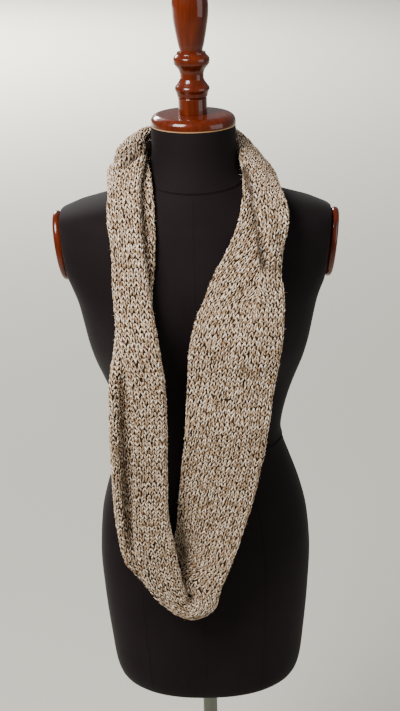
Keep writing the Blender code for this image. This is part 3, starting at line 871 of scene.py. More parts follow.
@dataclass
class NeckWarmer:
    """The knitted loop: a ground that closes the wall, and every knit stitch upon it.

    Attributes:
        tube: The folded tube.
        yarn: Material of the stitches.
        ground: Material of the ground between them, dark as painted shadow.
        wale: Width of a stitch.
        course: Height of a stitch.
        yarn_wide: Width of the yarn along the cloth.
        yarn_high: Height of the yarn off the cloth.
        leg_gap: Half the gap between the feet of the two legs, in wales.
        leg_splay: How far a leg leans outward over its length, in wales.
        leg_reach: Half the length of a leg, in courses.
        leg_arch: How far the middle of a leg stands above its ends.
        leg_sink: How far the ends dip into the cloth.
        leg_blunt: How bluntly a leg ends, 1 as a ball and 0 as a tube.
        leg_sides: Points round a leg.
        leg_steps: Steps along a leg.
        ply_turns: Turns of the plies along a leg.
        ply_end: Where on the plies a leg's two end points lie, in turns.
        ground_reach: Distance from the cloth's middle to the ground.
        stitch_reach: Distance from the cloth's middle to the yarn's middle.
        ground_sides: Points round the ground's outline.
        ripple: Height of the cloth's soft unevenness.
        ripple_mm: Width of that unevenness.
        stray: How far a stitch strays from its place, in stitches.
        stray_rise: How far it strays off the cloth meanwhile, for each stitch of stray.
        swell: How much a stitch's width varies.
        settle_mm: Length of the loop over which the count of wales evens out.
        bell_reach: How far that evening reaches, in the same lengths.
        hairs: Number of loose fibres.
        hair_long: Length of the longest fibres.
        hair_short: Length of the shortest, as a part of the longest.
        hair_wide: Width of a fibre.
        hair_middle: How far its middle stands off and sways, in lengths.
        hair_tip: How far its tip stands off and sways, in lengths.
        hair_twist: Its place on the plies, in turns.
        seed: Seed of the strays.
        flat_size: Width and round length of the tube laid flat, in metres. Not used here.
        presses: Creases and rolls between the folds, dimples near the foot, and a last
        wide one that only paints shade on the strand's lower end; most of the others
        also paint shade along their lines.
        stretches: Each stretch's name and the section where it ends.
    """

    tube: FoldedTube
    yarn: bpy.types.Material
    ground: bpy.types.Material
    wale: float = 6.5
    course: float = 6.0
    yarn_wide: float = 2.5
    yarn_high: float = 1.9
    leg_gap: float = 0.06
    leg_splay: float = 0.34
    leg_reach: float = 0.68
    leg_arch: float = 0.8
    leg_sink: float = 0.45
    leg_blunt: float = 0.45
    leg_sides: int = 5
    leg_steps: int = 4
    ply_turns: float = 0.4
    ply_end: float = 0.25
    ground_reach: float = 1.6
    stitch_reach: float = 2.35
    ground_sides: int = 96
    ripple: float = 0.6
    ripple_mm: float = 30.0
    stray: float = 0.10
    stray_rise: float = 3.0
    swell: float = 0.12
    settle_mm: float = 60.0
    bell_reach: float = 3.0
    hairs: int = 6000
    hair_long: float = 4.5
    hair_short: float = 0.5
    hair_wide: float = 0.16
    hair_middle: tuple[float, float] = (0.5, 0.2)
    hair_tip: tuple[float, float] = (0.75, 0.6)
    hair_twist: float = 0.75
    seed: int = 20
    flat_size: tuple[float, float] = (0.158, 1.5)
    presses: tuple[Press, ...] = (
        Press(((-30, -138, 543), (-24, -138, 572)), 13.0, (0, 5, 0), 0.35),
        Press(((-20, -148, 618),), 7.0, (0, -4, 0)),
        Press(((-17, -149, 636),), 8.0, (0, 8, 0), 0.5),
        Press(((-94, -160, 300), (-96, -159, 368), (-97, -158, 488), (-95, -159, 541)), 10.0, (0, 5, 0), 0.3),
        Press(((66, -38, 55), (70, -54, 67), (75, -70, 78), (77, -80, 90), (80, -93, 102), (83, -106, 122),
               (85, -115, 140), (88, -122, 158)), 9.0, (-1, 9, 0), 1.0),
        Press(((84, -70, 71), (91, -88, 86), (96, -103, 102), (101, -119, 150)), 12.0, (0, -9, 0)),
        Press(((-60, 2, 25), (-66, -20, 28), (-81, -35, 34), (-90, -41, 40)), 6.5, (2, 5, -9), 0.92),
        Press(((-64, 15, 24), (-72, -15, 20), (-83, -20, 25), (-93, -24, 32)), 12.0, (0, 2, -2), 0.62),
        Press(((-62, -25, 42), (-65, -47, 55), (-67, -71, 72), (-66, -92, 87), (-65, -110, 113),
               (-62, -118, 138)), 4.0, (0, 1, 0), 0.75),
        Press(((-78, -157, 430), (-74, -157, 560), (-50, -154, 610)), 30.0, (0, 0, 0), 0.26),
    )
    stretches: tuple[tuple[str, str], ...] = (
        ("knit_neck_back", "neck left"),
        ("knit_left_shoulder", "bust left"),
        ("knit_left_strand", "turn left"),
        ("knit_bottom_turn", "hang right low"),
        ("knit_right_strand", "bust right low"),
        ("knit_right_shoulder", "neck right"),
    )

    def build(self) -> None:
        self.random = np.random.default_rng(self.seed)
        self.courses = round(self.tube.round / self.course)
        ground = self.build_ground()
        knitted = self.build_stitches()

    def build_ground(self) -> bpy.types.Object:
        """Build the closed wall under the stitches."""
        where = np.arange(self.courses) * self.tube.round / self.courses
        outlines, lengths, _ = self.tube.surface(where, self.ground_reach)
        bm = bmesh.new()
        rings = []
        for points, length in zip(outlines, lengths):
            at = np.arange(self.ground_sides) * length[-1] / self.ground_sides
            ring = bmesh.ops.create_circle(bm, segments=self.ground_sides, radius=1.0)["verts"]
            for vert, place in zip(ring, np.stack([np.interp(at, length, c) for c in points.T], axis=1)):
                vert.co = place
            rings.append({e for v in ring for e in v.link_edges})
        for lower, upper in zip(rings, rings[1:] + rings[:1]):
            bmesh.ops.bridge_loops(bm, edges=[*lower, *upper])
        spots = np.array([vert.co for vert in bm.verts])
        for vert, move in zip(bm.verts, sum(press.move(spots) for press in self.presses)):
            vert.co += Vector(move)
        mesh = mesh_from("warmer_ground", bm, ALL_SMOOTH)
        nodes = ("warmer_neck_back", "warmer_left_strand", "warmer_bottom_turn", "warmer_right_strand")
        return link_mesh("warmer_ground", mesh, self.ground, nodes)

    def stitch(self) -> tuple[np.ndarray, np.ndarray, np.ndarray, np.ndarray]:
        """Shape one knit stitch: two legs of yarn that meet in a V.

        Returns:
            Points as (wales, courses, height), triangles, twist and depth of each point, which sets the yarn's
            painted shade.
        """
        points, faces, twist, depth = [], [], [], []
        for side in (1, -1):
            bm = bmesh.new()
            bmesh.ops.create_uvsphere(bm, u_segments=self.leg_sides, v_segments=self.leg_steps, radius=1.0)
            bmesh.ops.triangulate(bm, faces=bm.faces)
            first = len(points)
            for vert in bm.verts:
                x, y, t = vert.co
                thick = math.hypot(x, y) ** self.leg_blunt if math.hypot(x, y) > NEAR else 0.0
                angle = math.atan2(y, x)
                along = (t + 1) / 2
                lean = self.leg_splay * math.sin(along * math.pi / 2)
                slope = self.leg_splay * math.pi / 4 * math.cos(along * math.pi / 2)
                slope *= self.wale / (self.leg_reach * self.course)
                across = thick * math.cos(angle) * self.yarn_wide / 2
                rise = thick * math.sin(angle) * self.yarn_high / 2
                height = self.leg_arch * (1 - t * t) - self.leg_sink + rise
                across /= math.hypot(1, slope)
                points.append((side * (self.leg_gap + lean + across / self.wale),
                               self.leg_reach * t - across * slope / self.course, height))
                twist.append(along * self.ply_turns + (angle / math.tau if thick else self.ply_end))
                # painted shade: depth is 0 where the leg dips into the cloth and 1 on its top
                depth.append(min(1.0, max(0.0, 0.5 + height / self.yarn_high)))
            for face in bm.faces:
                corners = [v.index + first for v in face.verts]
                faces.append(corners if side > 0 else corners[::-1])
            bm.free()
        return np.array(points), np.array(faces), np.array(twist), np.array(depth)

    def fabric_grid(self) -> tuple[np.ndarray, ...]:
        """Sample the yarn's surface every half stitch, both ways from the top edge.

        Returns:
            Points, normals and painted light (lower where the presses paint shade) by half
            course and half wale, and the lengths of the front and of the back at each half course.
        """
        halves = 2 * self.courses
        where = np.arange(halves + 1) * self.tube.round / halves
        outlines, lengths, fronts = self.tube.surface(where, self.stitch_reach)
        whole = np.array([length[-1] for length in lengths])
        even_fronts, even_backs = self.settled(fronts), self.settled(whole - fronts)
        self.half_columns = int(np.ceil(max(even_fronts.max(), even_backs.max()) / (self.wale / 2))) + 2
        at = np.arange(-self.half_columns, self.half_columns + 1) * self.wale / 2
        grid = []
        for points, length, front, even in zip(outlines, lengths, fronts, even_fronts):
            spread = np.mod(at * front / even, length[-1])
            grid.append(np.stack([np.interp(spread, length, c) for c in points.T], axis=1))
        grid = np.array(grid)
        # painted shade along the presses: 1 where unshaded, lower near their lines
        light = np.prod([1 - press.shade * press.weight(grid) for press in self.presses], axis=0)
        grid = grid + sum(press.move(grid) for press in self.presses)
        down = np.gradient(grid, axis=0)
        across = np.gradient(grid, axis=1)
        normals = np.cross(down, across)
        normals /= np.linalg.norm(normals, axis=2)[..., None] + TINY
        sway = np.array([[noise.noise(Vector(p) / self.ripple_mm) for p in row] for row in grid])
        grid = grid + normals * (self.ripple * sway)[..., None]
        return grid, normals, light, even_fronts, even_backs

    def settled(self, lengths: np.ndarray) -> np.ndarray:
        """Even out lengths along the loop, so that short narrowings squeeze the wales instead.

        Args:
            lengths: One length for each half course, the last the same as the first.

        Returns:
            The evened lengths.
        """
        reach = int(self.bell_reach * self.settle_mm / (self.course / 2))
        bell = np.exp(-(np.arange(-reach, reach + 1) * self.course / 2 / self.settle_mm) ** 2 / 2)
        around = np.concatenate([lengths[-reach - 1:-1], lengths, lengths[1:reach + 1]])
        return np.convolve(around, bell / bell.sum(), mode="valid")

    def build_stitches(self) -> list[bpy.types.Object]:
        """Knit every stitch of the loop, stretch by stretch."""
        grid, normals, light, fronts, backs = self.fabric_grid()
        shape, faces, twist, depth = self.stitch()
        wales = self.half_columns // 2
        course_of = {name: round(place / self.tube.round * self.courses)
                     for name, place in self.tube.start_of.items()}
        pieces = []
        first = course_of["neck right"] - self.courses
        for name, last_section in self.stretches:
            last = course_of[last_section]
            spots = [(j, k) for j in range(first, last) for k in range(-wales, wales)
                     if self.knitted(k, fronts[2 * (j % self.courses) + 1], backs[2 * (j % self.courses) + 1])]
            first = last
            pieces.append(self.lay(name, np.array(spots), (grid, normals, light), (shape, faces, twist, depth)))
        pieces.append(self.fuzz(grid, normals))
        return pieces

    def fuzz(self, grid: np.ndarray, normals: np.ndarray) -> bpy.types.Object:
        """Scatter loose fibres that stand off the yarn, each a thin bent ribbon.

        Args:
            grid: Points of the cloth every half stitch.
            normals: Normals there.

        Returns:
            The fibres' object.
        """
        i, j = (self.random.integers(1, size - 1, self.hairs) for size in grid.shape[:2])
        root, rise = grid[i, j], normals[i, j]
        sway = self.random.normal(0, 1, (self.hairs, 3))
        sway -= rise * (sway * rise).sum(axis=1)[:, None]
        wide = np.cross(rise, sway)
        wide *= self.hair_wide / 2 / np.linalg.norm(wide, axis=1)[:, None]
        length = self.hair_long * self.random.uniform(self.hair_short, 1.0, (self.hairs, 1))
        middle, tip = (root + length * (off * rise + aside * sway)
                       for off, aside in (self.hair_middle, self.hair_tip))
        points = np.stack([root - wide, root + wide, middle - wide, middle + wide, tip], axis=1)
        first = points.shape[1] * np.arange(self.hairs)[:, None, None]
        corners = np.array(((0, 1, 3), (0, 3, 2), (2, 3, 4))) + first
        ones = np.ones(points.shape[:2])
        marks = {"twist": self.hair_twist * ones, "tone": 0 * ones, "depth": ones}
        return self.link_yarn("knit_fuzz", points.reshape(-1, 3), corners.reshape(-1, 3), marks)

    def knitted(self, wale: int, front: float, back: float) -> bool:
        """Whether a wale has reached the under edge at a course.

        Args:
            wale: Number of the wale, below 0 on the back.
            front: Length of the front there.
            back: Length of the back there.

        Returns:
            True where the stitch is on the cloth.
        """
        middle = (wale + 0.5) * self.wale
        return -back < middle < front

    def lay(self, name: str, spots: np.ndarray, cloth: tuple[np.ndarray, ...],
            stitch: tuple[np.ndarray, ...]) -> bpy.types.Object:
        """Lay a stitch at each spot of a stretch and join them.

        Args:
            name: The stretch's name.
            spots: Course and wale of each stitch.
            cloth: Points, normals and painted light of the cloth every half stitch.
            stitch: The stitch's points, faces, twist and depth, which sets its painted shade.

        Returns:
            The stretch's object.
        """
        shape, faces, twist, depth = stitch
        grid, normals, light = cloth
        count, size = len(spots), len(shape)
        shift = self.random.normal(0, self.stray, (count, 3))
        swell = 1 + self.random.normal(0, self.swell, (count, 1))
        course = spots[:, :1] + 0.5 + shape[None, :, 1] + shift[:, :1]
        wale = spots[:, 1:] + 0.5 + shape[None, :, 0] * swell + shift[:, 1:2]
        down = np.mod(2 * course, 2 * self.courses)
        side = 2 * wale + self.half_columns
        i = np.floor(down).astype(int)
        j = np.clip(np.floor(side).astype(int), 0, grid.shape[1] - 2)
        a, b = (down - i)[..., None], (side - j)[..., None]

        def read(values: np.ndarray) -> np.ndarray:
            """Blend the four samples round each point."""
            near = values[i, j] * (1 - b) + values[i, j + 1] * b
            far = values[i + 1, j] * (1 - b) + values[i + 1, j + 1] * b
            return near * (1 - a) + far * a

        height = shape[None, :, 2] + self.stray_rise * shift[:, 2:]
        points = (read(grid) + read(normals) * height[..., None]).reshape(-1, 3)
        corners = (faces[None] + size * np.arange(count)[:, None, None]).reshape(-1, 3)
        legs = np.repeat(self.random.random((count, 2)), size // 2, axis=1)
        # depth carries the painted shade of the leg's dip and of the presses' creases
        marks = {"twist": twist[None] + legs,
                 "tone": np.repeat(self.random.random((count, 2)), size // 2, axis=1),
                 "depth": depth * read(light)[..., 0]}
        return self.link_yarn(name, points, corners, marks)

    def link_yarn(self, name: str, points: np.ndarray, corners: np.ndarray,
                  marks: dict[str, np.ndarray]) -> bpy.types.Object:
        """Make a piece of yarn from its triangles.

        Args:
            name: The piece's name.
            points: Its points in millimetres.
            corners: Its triangles.
            marks: Attribute name to one value for each point.

        Returns:
            The piece's object.
        """
        mesh = bpy.data.meshes.new(name)
        mesh.vertices.add(len(points))
        mesh.vertices.foreach_set("co", (points * MM).ravel())
        mesh.loops.add(corners.size)
        mesh.loops.foreach_set("vertex_index", corners.ravel().astype(np.int32))
        mesh.polygons.add(len(corners))
        mesh.polygons.foreach_set("loop_start", np.arange(0, corners.size, 3, dtype=np.int32))
        mesh.update(calc_edges=True)
        mesh.shade_smooth()
        for mark, values in marks.items():
            layer = mesh.attributes.new(mark, "FLOAT", "POINT")
            layer.data.foreach_set("value", np.ascontiguousarray(values, dtype=np.float32).ravel())
        return link_mesh(name, mesh, self.yarn)


@dataclass
class DressForm:
    """The limbless torso in its jersey cover, with wooden cap, finial and armhole plates.

    Attributes:
        jersey: Material of the cover.
        wood: Material of the turned pieces.
        sides: Points round the cover.
        step: Greatest height of a row of its faces.
        seat_gap: Space between pieces that touch.
        bust_side: How far a breast's middle lies from the centre.
        bust_drop: Its drop.
        bust_height: How far it stands out.
        bust_wide: How far it reaches sideways.
        bust_up: How far it reaches upward.
        bust_down: How far it reaches downward.
        plate_tilt: Degrees that an armhole plate leans downward.
        plate_side: How far its middle lies from the centre.
        plate_drop: Its drop.
        armhole_reach: Drop that the armhole's cut ends above.
        plate_height: Its height.
        plate_depth: Its depth from front to back.
        plate_thick: Its thickness.
        princess: Degrees that the princess seams stand from the centre seams.
        princess_top: Drop where the princess seams start.
        seam_top: Drop where the centre seams start.
        seam_foot: Drop where the upright seams end.
        seam_step: Step along the upright seams.
        ring_step: Step along the neck and waist seams, in degrees.
        neck_seam: Drop of the neck seam at the sides.
        neck_dip: How far it dips at the front.
        waist_seam: Drop of the waist seam.
        welt_half: Half the width of a seam's welt.
        welt_high: How far an upright seam's welt stands off the cover.
        ring_high: How far the neck and waist welts stand off it.
        welt_sunk: How far a welt's edges are sunk in it.
        welt_groove: Height of the stitched groove in a welt.
        probe: Small turn and drop from which the cover's slope is read.
        cap: Height above the rim and radius of the neck cap's outline.
        cap_sides: Points round the cap.
        finial: The same for the finial.
        finial_sides: Points round the finial.
        plate_sides: Points round a plate.
        edge_steps: Points on a plate's rounded edge.
        cover_crisp: Angle in degrees past which the cover's edges stay crisp.
        welt_crisp: The same for the welts.
        turned_crisp: The same for the cap and the finial.
        plate_crisp: The same for the plates.
    """

    jersey: bpy.types.Material
    wood: bpy.types.Material
    sides: int = 112
    step: float = 8.0
    seat_gap: float = 0.3
    bust_side: float = 80.0
    bust_drop: float = 282.0
    bust_height: float = 34.0
    bust_wide: float = 44.0
    bust_up: float = 70.0
    bust_down: float = 44.0
    plate_tilt: float = 6.4
    plate_side: float = 177.5
    plate_drop: float = 162.0
    armhole_reach: float = 270.0
    plate_height: float = 97.0
    plate_depth: float = 72.0
    plate_thick: float = 11.0
    princess: float = 32.0
    princess_top: float = 122.0
    seam_top: float = 80.0
    seam_foot: float = 836.0
    seam_step: float = 9.0
    ring_step: float = 4.0
    neck_seam: float = 64.0
    neck_dip: float = 12.0
    waist_seam: float = 446.0
    welt_half: float = 1.7
    welt_high: float = 0.35
    ring_high: float = 0.9
    welt_sunk: float = 0.6
    welt_groove: float = -0.1
    probe: tuple[float, float] = (0.01, 1.0)
    cap: tuple[tuple[float, float], ...] = (
        (0, 56), (3, 56.4), (7, 56), (10.5, 54.4), (13.2, 51.4), (14.6, 47.5), (14.9, 44),
    )
    cap_sides: int = 96
    finial: tuple[tuple[float, float], ...] = (
        (15.2, 18.9), (34.5, 18.9), (35.5, 18.2), (37, 19.6), (42, 20.8), (45, 22.1), (47, 23.0),
        (49, 22.6), (53, 19.8), (57, 17.0), (61, 15.5), (66, 15.5), (70, 16.4), (73, 17.9), (76, 20.4),
        (80, 23.2), (84, 23.8), (87, 23.2), (90, 20.7), (92, 19.0), (94, 18.6), (94.5, 14.9),
        (105, 17.2), (122, 20.5), (141, 23.3), (151, 23.7), (160, 23.1), (167, 21.2), (173, 17.4),
        (176.5, 12.5), (178, 6.0),
    )
    finial_sides: int = 72
    plate_sides: int = 72
    edge_steps: int = 11
    cover_crisp: float = 45.0
    welt_crisp: float = 60.0
    turned_crisp: float = 30.0
    plate_crisp: float = 40.0

    def build(self) -> None:
        """Build the cover, its seams and the wooden pieces."""
        self.table = np.array(TORSO_RINGS, float)
        self.build_cover()
        self.build_seams()
        self.build_cap()
        self.build_plates()

    def skin(self, angle: np.ndarray, drop: float) -> np.ndarray:
        """Points of the torso's surface at one drop.

        Args:
            angle: Angles round the form, 0 at its left side as seen from behind.
            drop: Drop below the rim.

        Returns:
            One point for each angle.
        """
        half, front, back, square = (monotone(drop, self.table[:, 0], column) for column in self.table.T[1:])
        across, along = np.cos(angle), np.sin(angle)
        x = half * np.sign(across) * np.abs(across) ** (2 / square)
        y = (front + back) / 2 + (back - front) / 2 * np.sign(along) * np.abs(along) ** (2 / square)
        reach = self.bust_up if drop < self.bust_drop else self.bust_down
        out = self.bust_height * np.exp(-((np.abs(x) - self.bust_side) / self.bust_wide) ** 2
                                        - ((drop - self.bust_drop) / reach) ** 2)
        y = np.where(along < 0, y - out * np.clip(-along * 2, 0, 1), y)
        return np.stack([x, y, np.full_like(x, RIM - drop)], axis=1)

    def armhole(self, side: int) -> tuple[Vector, Vector]:
        """Centre of an armhole's plane and the way that it faces."""
        tilt = math.radians(self.plate_tilt)
        normal = Vector((side * math.cos(tilt), 0, -math.sin(tilt)))
        return Vector((side * self.plate_side, 0, RIM - self.plate_drop)), normal

    def build_cover(self) -> None:
        """Build the jersey cover as a fine skin with its armholes cut flat."""
        angle = np.arange(self.sides) * math.tau / self.sides
        drops = [self.table[0, 0]]
        for row in self.table[1:]:
            pieces = math.ceil((row[0] - drops[-1]) / self.step)
            drops += [drops[-1] + (row[0] - drops[-1]) * (k + 1) / pieces for k in range(pieces)]
        bm = bmesh.new()
        rings = []
        for drop in drops:
            ring = bmesh.ops.create_circle(bm, segments=self.sides, radius=1.0)["verts"]
            for vert, place in zip(ring, self.skin(angle, drop)):
                vert.co = place
            rings.append({e for v in ring for e in v.link_edges})
        for upper, lower in zip(rings, rings[1:]):
            bmesh.ops.bridge_loops(bm, edges=[*upper, *lower])
        bmesh.ops.contextual_create(bm, geom=list(rings[0]))
        bmesh.ops.contextual_create(bm, geom=list(rings[-1]))
        for side in (-1, 1):
            centre, normal = self.armhole(side)
            faces = [f for f in bm.faces if min(v.co.z for v in f.verts) > RIM - self.armhole_reach]
            edges = {e for f in faces for e in f.edges}
            verts = {v for f in faces for v in f.verts}
            bmesh.ops.bisect_plane(bm, geom=[*verts, *edges, *faces], plane_co=centre, plane_no=normal,
                                   clear_outer=True)
            bmesh.ops.contextual_create(bm, geom=[e for e in bm.edges if e.is_boundary])
        mesh = mesh_from("form_cover", bm, self.cover_crisp)
        link_mesh("form_cover", mesh, self.jersey, ("form_torso",))

    def build_seams(self) -> None:
        """Build the cover's pressed seams: centres, princess lines, sides, neck and waist."""
        front, back, left, right = 270.0, 90.0, 180.0, 0.0
        tops = {right: self.armhole_reach, left: self.armhole_reach}
        for centre in (front, back):
            tops |= {centre: self.seam_top, centre + self.princess: self.princess_top,
                     centre - self.princess: self.princess_top}
        bm = bmesh.new()
        down = np.arange(self.seam_top, self.seam_foot, self.seam_step)
        for angle, top in tops.items():
            self.welt(bm, [(math.radians(angle), d) for d in down if d >= top], self.welt_high)
        turn = np.radians(np.arange(0, 360, self.ring_step))
        self.welt(bm, [(a, self.neck_seam - self.neck_dip * math.sin(a)) for a in turn], self.ring_high, True)
        self.welt(bm, [(a, self.waist_seam) for a in turn], self.ring_high, True)
        mesh = mesh_from("form_seams", bm, self.welt_crisp)
        link_mesh("form_seams", mesh, self.jersey)

    def welt(self, bm: bmesh.types.BMesh, path: list[tuple[float, float]], high: float,
             closed: bool = False) -> None:
        """Lay a low double welt with a stitched groove along a path on the cover.

        Args:
            bm: Mesh that takes it.
            path: Angle and drop of its points.
            high: How far it stands off the cover.
            closed: Whether it runs all the way round.
        """
        half, sunk = self.welt_half, -self.welt_sunk
        outline = ((-half, sunk), (-half / 2, high), (0.0, self.welt_groove), (half / 2, high), (half, sunk))
        turn, fall = self.probe
        spots = [self.skin(np.array([a, a + turn]), d) for a, d in path]
        below = [self.skin(np.array([a]), d + fall) for a, d in path]
        points = [Vector(s[0]) for s in spots]
        rings = []
        for k, point in enumerate(points):
            ahead = points[(k + 1) % len(points)] if closed or k + 1 < len(points) else point
            behind = points[k - 1] if closed or k > 0 else point
            along = (ahead - behind).normalized()
            normal = (Vector(below[k][0]) - point).cross(Vector(spots[k][1]) - point).normalized()
            across = normal.cross(along)
            ring = bmesh.ops.create_circle(bm, segments=len(outline), radius=1.0)["verts"]
            for vert, (side, height) in zip(ring, outline):
                vert.co = point + across * side + normal * height
            rings.append({e for v in ring for e in v.link_edges})
        pairs = list(zip(rings, rings[1:] + rings[:1])) if closed else list(zip(rings, rings[1:]))
        for lower, upper in pairs:
            bmesh.ops.bridge_loops(bm, edges=[*lower, *upper])
        if not closed:
            bmesh.ops.contextual_create(bm, geom=list(rings[0]))
            bmesh.ops.contextual_create(bm, geom=list(rings[-1]))

    def build_cap(self) -> None:
        """Turn the neck cap and the finial from smooth lines through their tables."""
        for name, table, node, sides in (("neck_cap_turned", self.cap, "neck_cap", self.cap_sides),
                                         ("finial_turned", self.finial, "finial", self.finial_sides)):
            heights, radii = np.array(table, float).T
            fine = np.union1d(heights, np.arange(heights[0], heights[-1], 1.0))
            foot = RIM + self.seat_gap
            line = [(float(monotone(z, heights, radii)), foot + float(z)) for z in fine]
            body = turned([(0.0, line[0][1]), *line, (0.0, line[-1][1])], sides)
            link_mesh(name, mesh_from(name, body, self.turned_crisp), self.wood, (node,))

    def build_plates(self) -> None:
        """Turn an oval plate with a rounded edge for each armhole."""
        edge = self.plate_thick / 2
        turn = np.linspace(-math.pi / 2, math.pi / 2, self.edge_steps)
        for side, name in ((-1, "left"), (1, "right")):
            centre, normal = self.armhole(side)
            half = self.plate_height / 2
            rim = [(half - edge + edge * math.cos(a), edge + edge * math.sin(a)) for a in turn]
            bm = turned([(0.0, 0.0), *rim, (0.0, 2 * edge)], self.plate_sides)
            squeeze = self.plate_depth / self.plate_height
            face = Matrix((Vector((0, 1, 0)) * squeeze, normal.cross(Vector((0, 1, 0))), normal)).transposed()
            bmesh.ops.transform(bm, matrix=face.to_4x4(), verts=bm.verts)
            bmesh.ops.translate(bm, vec=centre + normal * self.seat_gap, verts=bm.verts)
            mesh = mesh_from(f"armhole_plate_{side}", bm, self.plate_crisp)
            link_mesh(f"armhole_board_{name}", mesh, self.wood, (f"armhole_plate_{name}",))


def turned(profile: list[tuple[float, float]], sides: int) -> bmesh.types.BMesh:
    """Turn a profile round the upright axis.

    Args:
        profile: Radius and height of its points, bottom to top.
        sides: Steps round the axis.

    Returns:
        The turned body, closed at the axis.
    """
    bm = bmesh.new()
    verts = [bm.verts.new((radius, 0.0, height)) for radius, height in profile]
    edges = [bm.edges.new(pair) for pair in zip(verts, verts[1:])]
    bmesh.ops.spin(bm, geom=[*verts, *edges], cent=(0, 0, 0), axis=(0, 0, 1), angle=math.tau,
                   steps=sides, use_merge=True)
    bmesh.ops.remove_doubles(bm, verts=bm.verts, dist=NEAR)
    return bm


@dataclass
class Stand:
    """Steel pole with its collar under the torso, on a round base plate.

    Attributes:
        steel: Material of the three pieces.
        pole_radius: Radius of the pole.
        collar_radius: Radius of the collar.
        collar_height: Height of the collar.
        base_radius: Radius of the base plate.
        base_thick: Thickness of the base plate.
        gap: Space between pieces that touch.
        edge: Radius of the rounded edges.
        edge_steps: Points on a rounded edge.
        pole_sides: Points round the pole.
        collar_sides: Points round the collar.
        base_sides: Points round the base plate.
        crisp: Angle in degrees past which an edge stays crisp.
    """

    steel: bpy.types.Material
    pole_radius: float = 11.0
    collar_radius: float = 19.0
    collar_height: float = 34.0
    base_radius: float = 185.0
    base_thick: float = 9.0
    gap: float = 0.3
    edge: float = 3.0
    edge_steps: int = 6
    pole_sides: int = 48
    collar_sides: int = 64
    base_sides: int = 128
    crisp: float = 30.0

    def build(self) -> None:
        """Turn the three pieces."""
        torso_foot = RIM - TORSO_RINGS[-1][0]
        collar_foot = torso_foot - self.collar_height - self.gap
        arc = np.linspace(0, math.pi / 2, self.edge_steps)
        corner = [(self.base_radius - self.edge + self.edge * math.cos(a),
                   self.base_thick - self.edge + self.edge * math.sin(a)) for a in arc]
        self.piece("base_disc", [(0.0, 0.0), (self.base_radius, 0.0), *corner, (0.0, self.base_thick)],
                   self.base_sides, "base_plate")
        foot, head = self.base_thick + self.gap, collar_foot - self.gap
        self.piece("pole_tube", [(0.0, foot), (self.pole_radius, foot), (self.pole_radius, head), (0.0, head)],
                   self.pole_sides, "pole")
        bevel = [(self.collar_radius - self.edge + self.edge * math.sin(a),
                  collar_foot + self.edge - self.edge * math.cos(a)) for a in arc]
        self.piece("collar_sleeve", [(0.0, collar_foot), *bevel, (self.collar_radius, torso_foot - self.gap),
                                     (0.0, torso_foot - self.gap)], self.collar_sides, "pole_collar")

    def piece(self, name: str, profile: list[tuple[float, float]], sides: int, node: str) -> None:
        """Turn one piece and let it stand for its CAD node.

        Args:
            name: The piece's name.
            profile: Radius and height of its points.
            sides: Steps round the axis.
            node: The CAD node.
        """
        link_mesh(name, mesh_from(name, turned(profile, sides), self.crisp), self.steel, (node,))


@dataclass(frozen=True)
class Lamp:
    """A soft square light.

    Attributes:
        name: Its name.
        place: Where it hangs, in metres.
        target: Where it points.
        side: Its side, in metres.
        power: Its power, in watts.
        colour: Its linear colour.
    """

    name: str
    place: tuple[float, float, float]
    target: tuple[float, float, float]
    side: float
    power: float
    colour: tuple[float, float, float]

    def hang(self) -> None:
        """Hang the light and point it."""
        data = bpy.data.lights.new(self.name, "AREA")
        data.shape = "SQUARE"
        data.size = self.side
        data.energy = self.power
        data.color = self.colour
        light = bpy.data.objects.new(self.name, data)
        aim = (Vector(self.target) - Vector(self.place)).to_track_quat("-Z", "Y")
        light.matrix_world = Matrix.Translation(self.place) @ aim.to_matrix().to_4x4()
        bpy.context.scene.collection.objects.link(light)


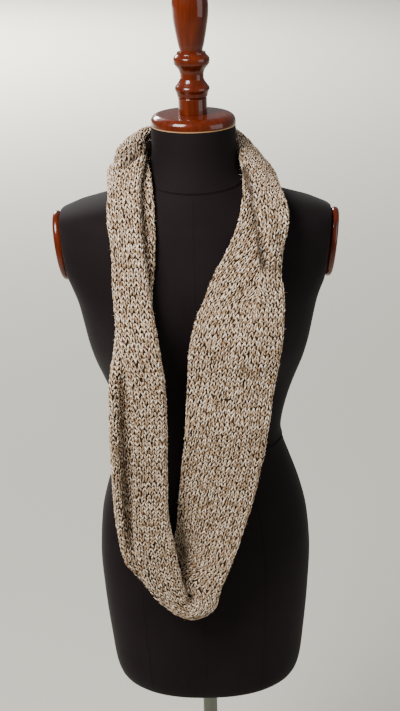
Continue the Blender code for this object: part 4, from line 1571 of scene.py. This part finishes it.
@dataclass
class Studio:
    """Camera at the photograph's place, pale floor and soft daylight from the left.

    Attributes:
        camera_place: Where the camera stands, in metres.
        pitch: Degrees that it looks down.
        roll: Degrees that it leans.
        focal_px: Its focal length, in pixels of the photograph.
        long_side_px: The photograph's long side.
        aside_px: How far left of the lens's middle the photograph is cropped.
        sensor: Width of the sensor.
        floor_half: Half the floor's side, in metres.
        floor_cells: Faces along the floor's side.
        air: Colour of the light from all round.
        air_strength: Its strength.
        lamps: The lights.
    """

    camera_place: tuple[float, float, float] = (0.0678, -1.6416, 1.684)
    pitch: float = 22.0
    roll: float = 0.81
    focal_px: float = 1250.0
    long_side_px: float = 711.0
    aside_px: float = -48.0
    sensor: float = 36.0
    floor_half: float = 40.0
    floor_cells: int = 4
    air: str = "#f1f2f2"
    air_strength: float = 0.27
    lamps: tuple[Lamp, ...] = (
        Lamp("window", (-0.9, -0.95, 2.4), (0.0, 0.0, 1.05), 0.8, 68.0, (1.0, 0.96, 0.92)),
        Lamp("sky fill", (2.2, -0.9, 1.6), (0.0, 0.0, 1.05), 1.6, 17.0, (0.97, 0.98, 1.0)),
        Lamp("floor wash", (-5.0, 10.0, 5.5), (-5.0, 10.0, 0.0), 5.0, 2900.0, (1.0, 1.0, 0.98)),
    )

    def build(self) -> None:
        """Set the camera, the floor and the lights."""
        data = bpy.data.cameras.new("camera")
        data.sensor_width = self.sensor
        data.lens = self.sensor * self.focal_px / self.long_side_px
        data.shift_x = self.aside_px / self.long_side_px
        camera = bpy.data.objects.new("camera", data)
        tilt = Matrix.Rotation(math.radians(90 - self.pitch), 4, "X")
        lean = Matrix.Rotation(math.radians(-self.roll), 4, "Z")
        camera.matrix_world = Matrix.Translation(self.camera_place) @ tilt @ lean
        bpy.context.scene.collection.objects.link(camera)
        bpy.context.scene.camera = camera
        self.build_floor()
        for lamp in self.lamps:
            lamp.hang()
        world = bpy.data.worlds.new("studio air")
        world.use_nodes = True
        world.node_tree.nodes["Background"].inputs["Color"].default_value = linear(self.air)
        world.node_tree.nodes["Background"].inputs["Strength"].default_value = self.air_strength
        bpy.context.scene.world = world

    def build_floor(self) -> None:
        """Lay the pale floor, which also fills the view behind the form."""
        bm = bmesh.new()
        bmesh.ops.create_grid(bm, x_segments=self.floor_cells, y_segments=self.floor_cells,
                              size=self.floor_half)
        mesh = bpy.data.meshes.new("floor")
        bm.to_mesh(mesh)
        bm.free()
        mesh.materials.append(StudioFloor().build())
        floor = bpy.data.objects.new("floor", mesh)
        bpy.context.scene.collection.objects.link(floor)


def form_surface() -> BVHTree:
    """Surface of the torso's solid, in millimetres."""
    torso = bpy.data.objects["form_torso"]
    scaled = Matrix.Scale(1 / MM, 4) @ torso.matrix_world
    verts = [scaled @ v.co for v in torso.data.vertices]
    return BVHTree.FromPolygons(verts, [tuple(p.vertices) for p in torso.data.polygons])


def main() -> None:
    """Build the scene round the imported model."""
    logging.basicConfig(level=logging.INFO, format="%(message)s")
    Studio().build()
    tube = FoldedTube(form_surface())
    DressForm(FormJersey().build(), VarnishedMahogany().build()).build()
    Stand(SatinSteel().build()).build()
    NeckWarmer(tube, MarlYarn().build(), LoopShadow().build()).build()


if __name__ == "__main__":
    main()
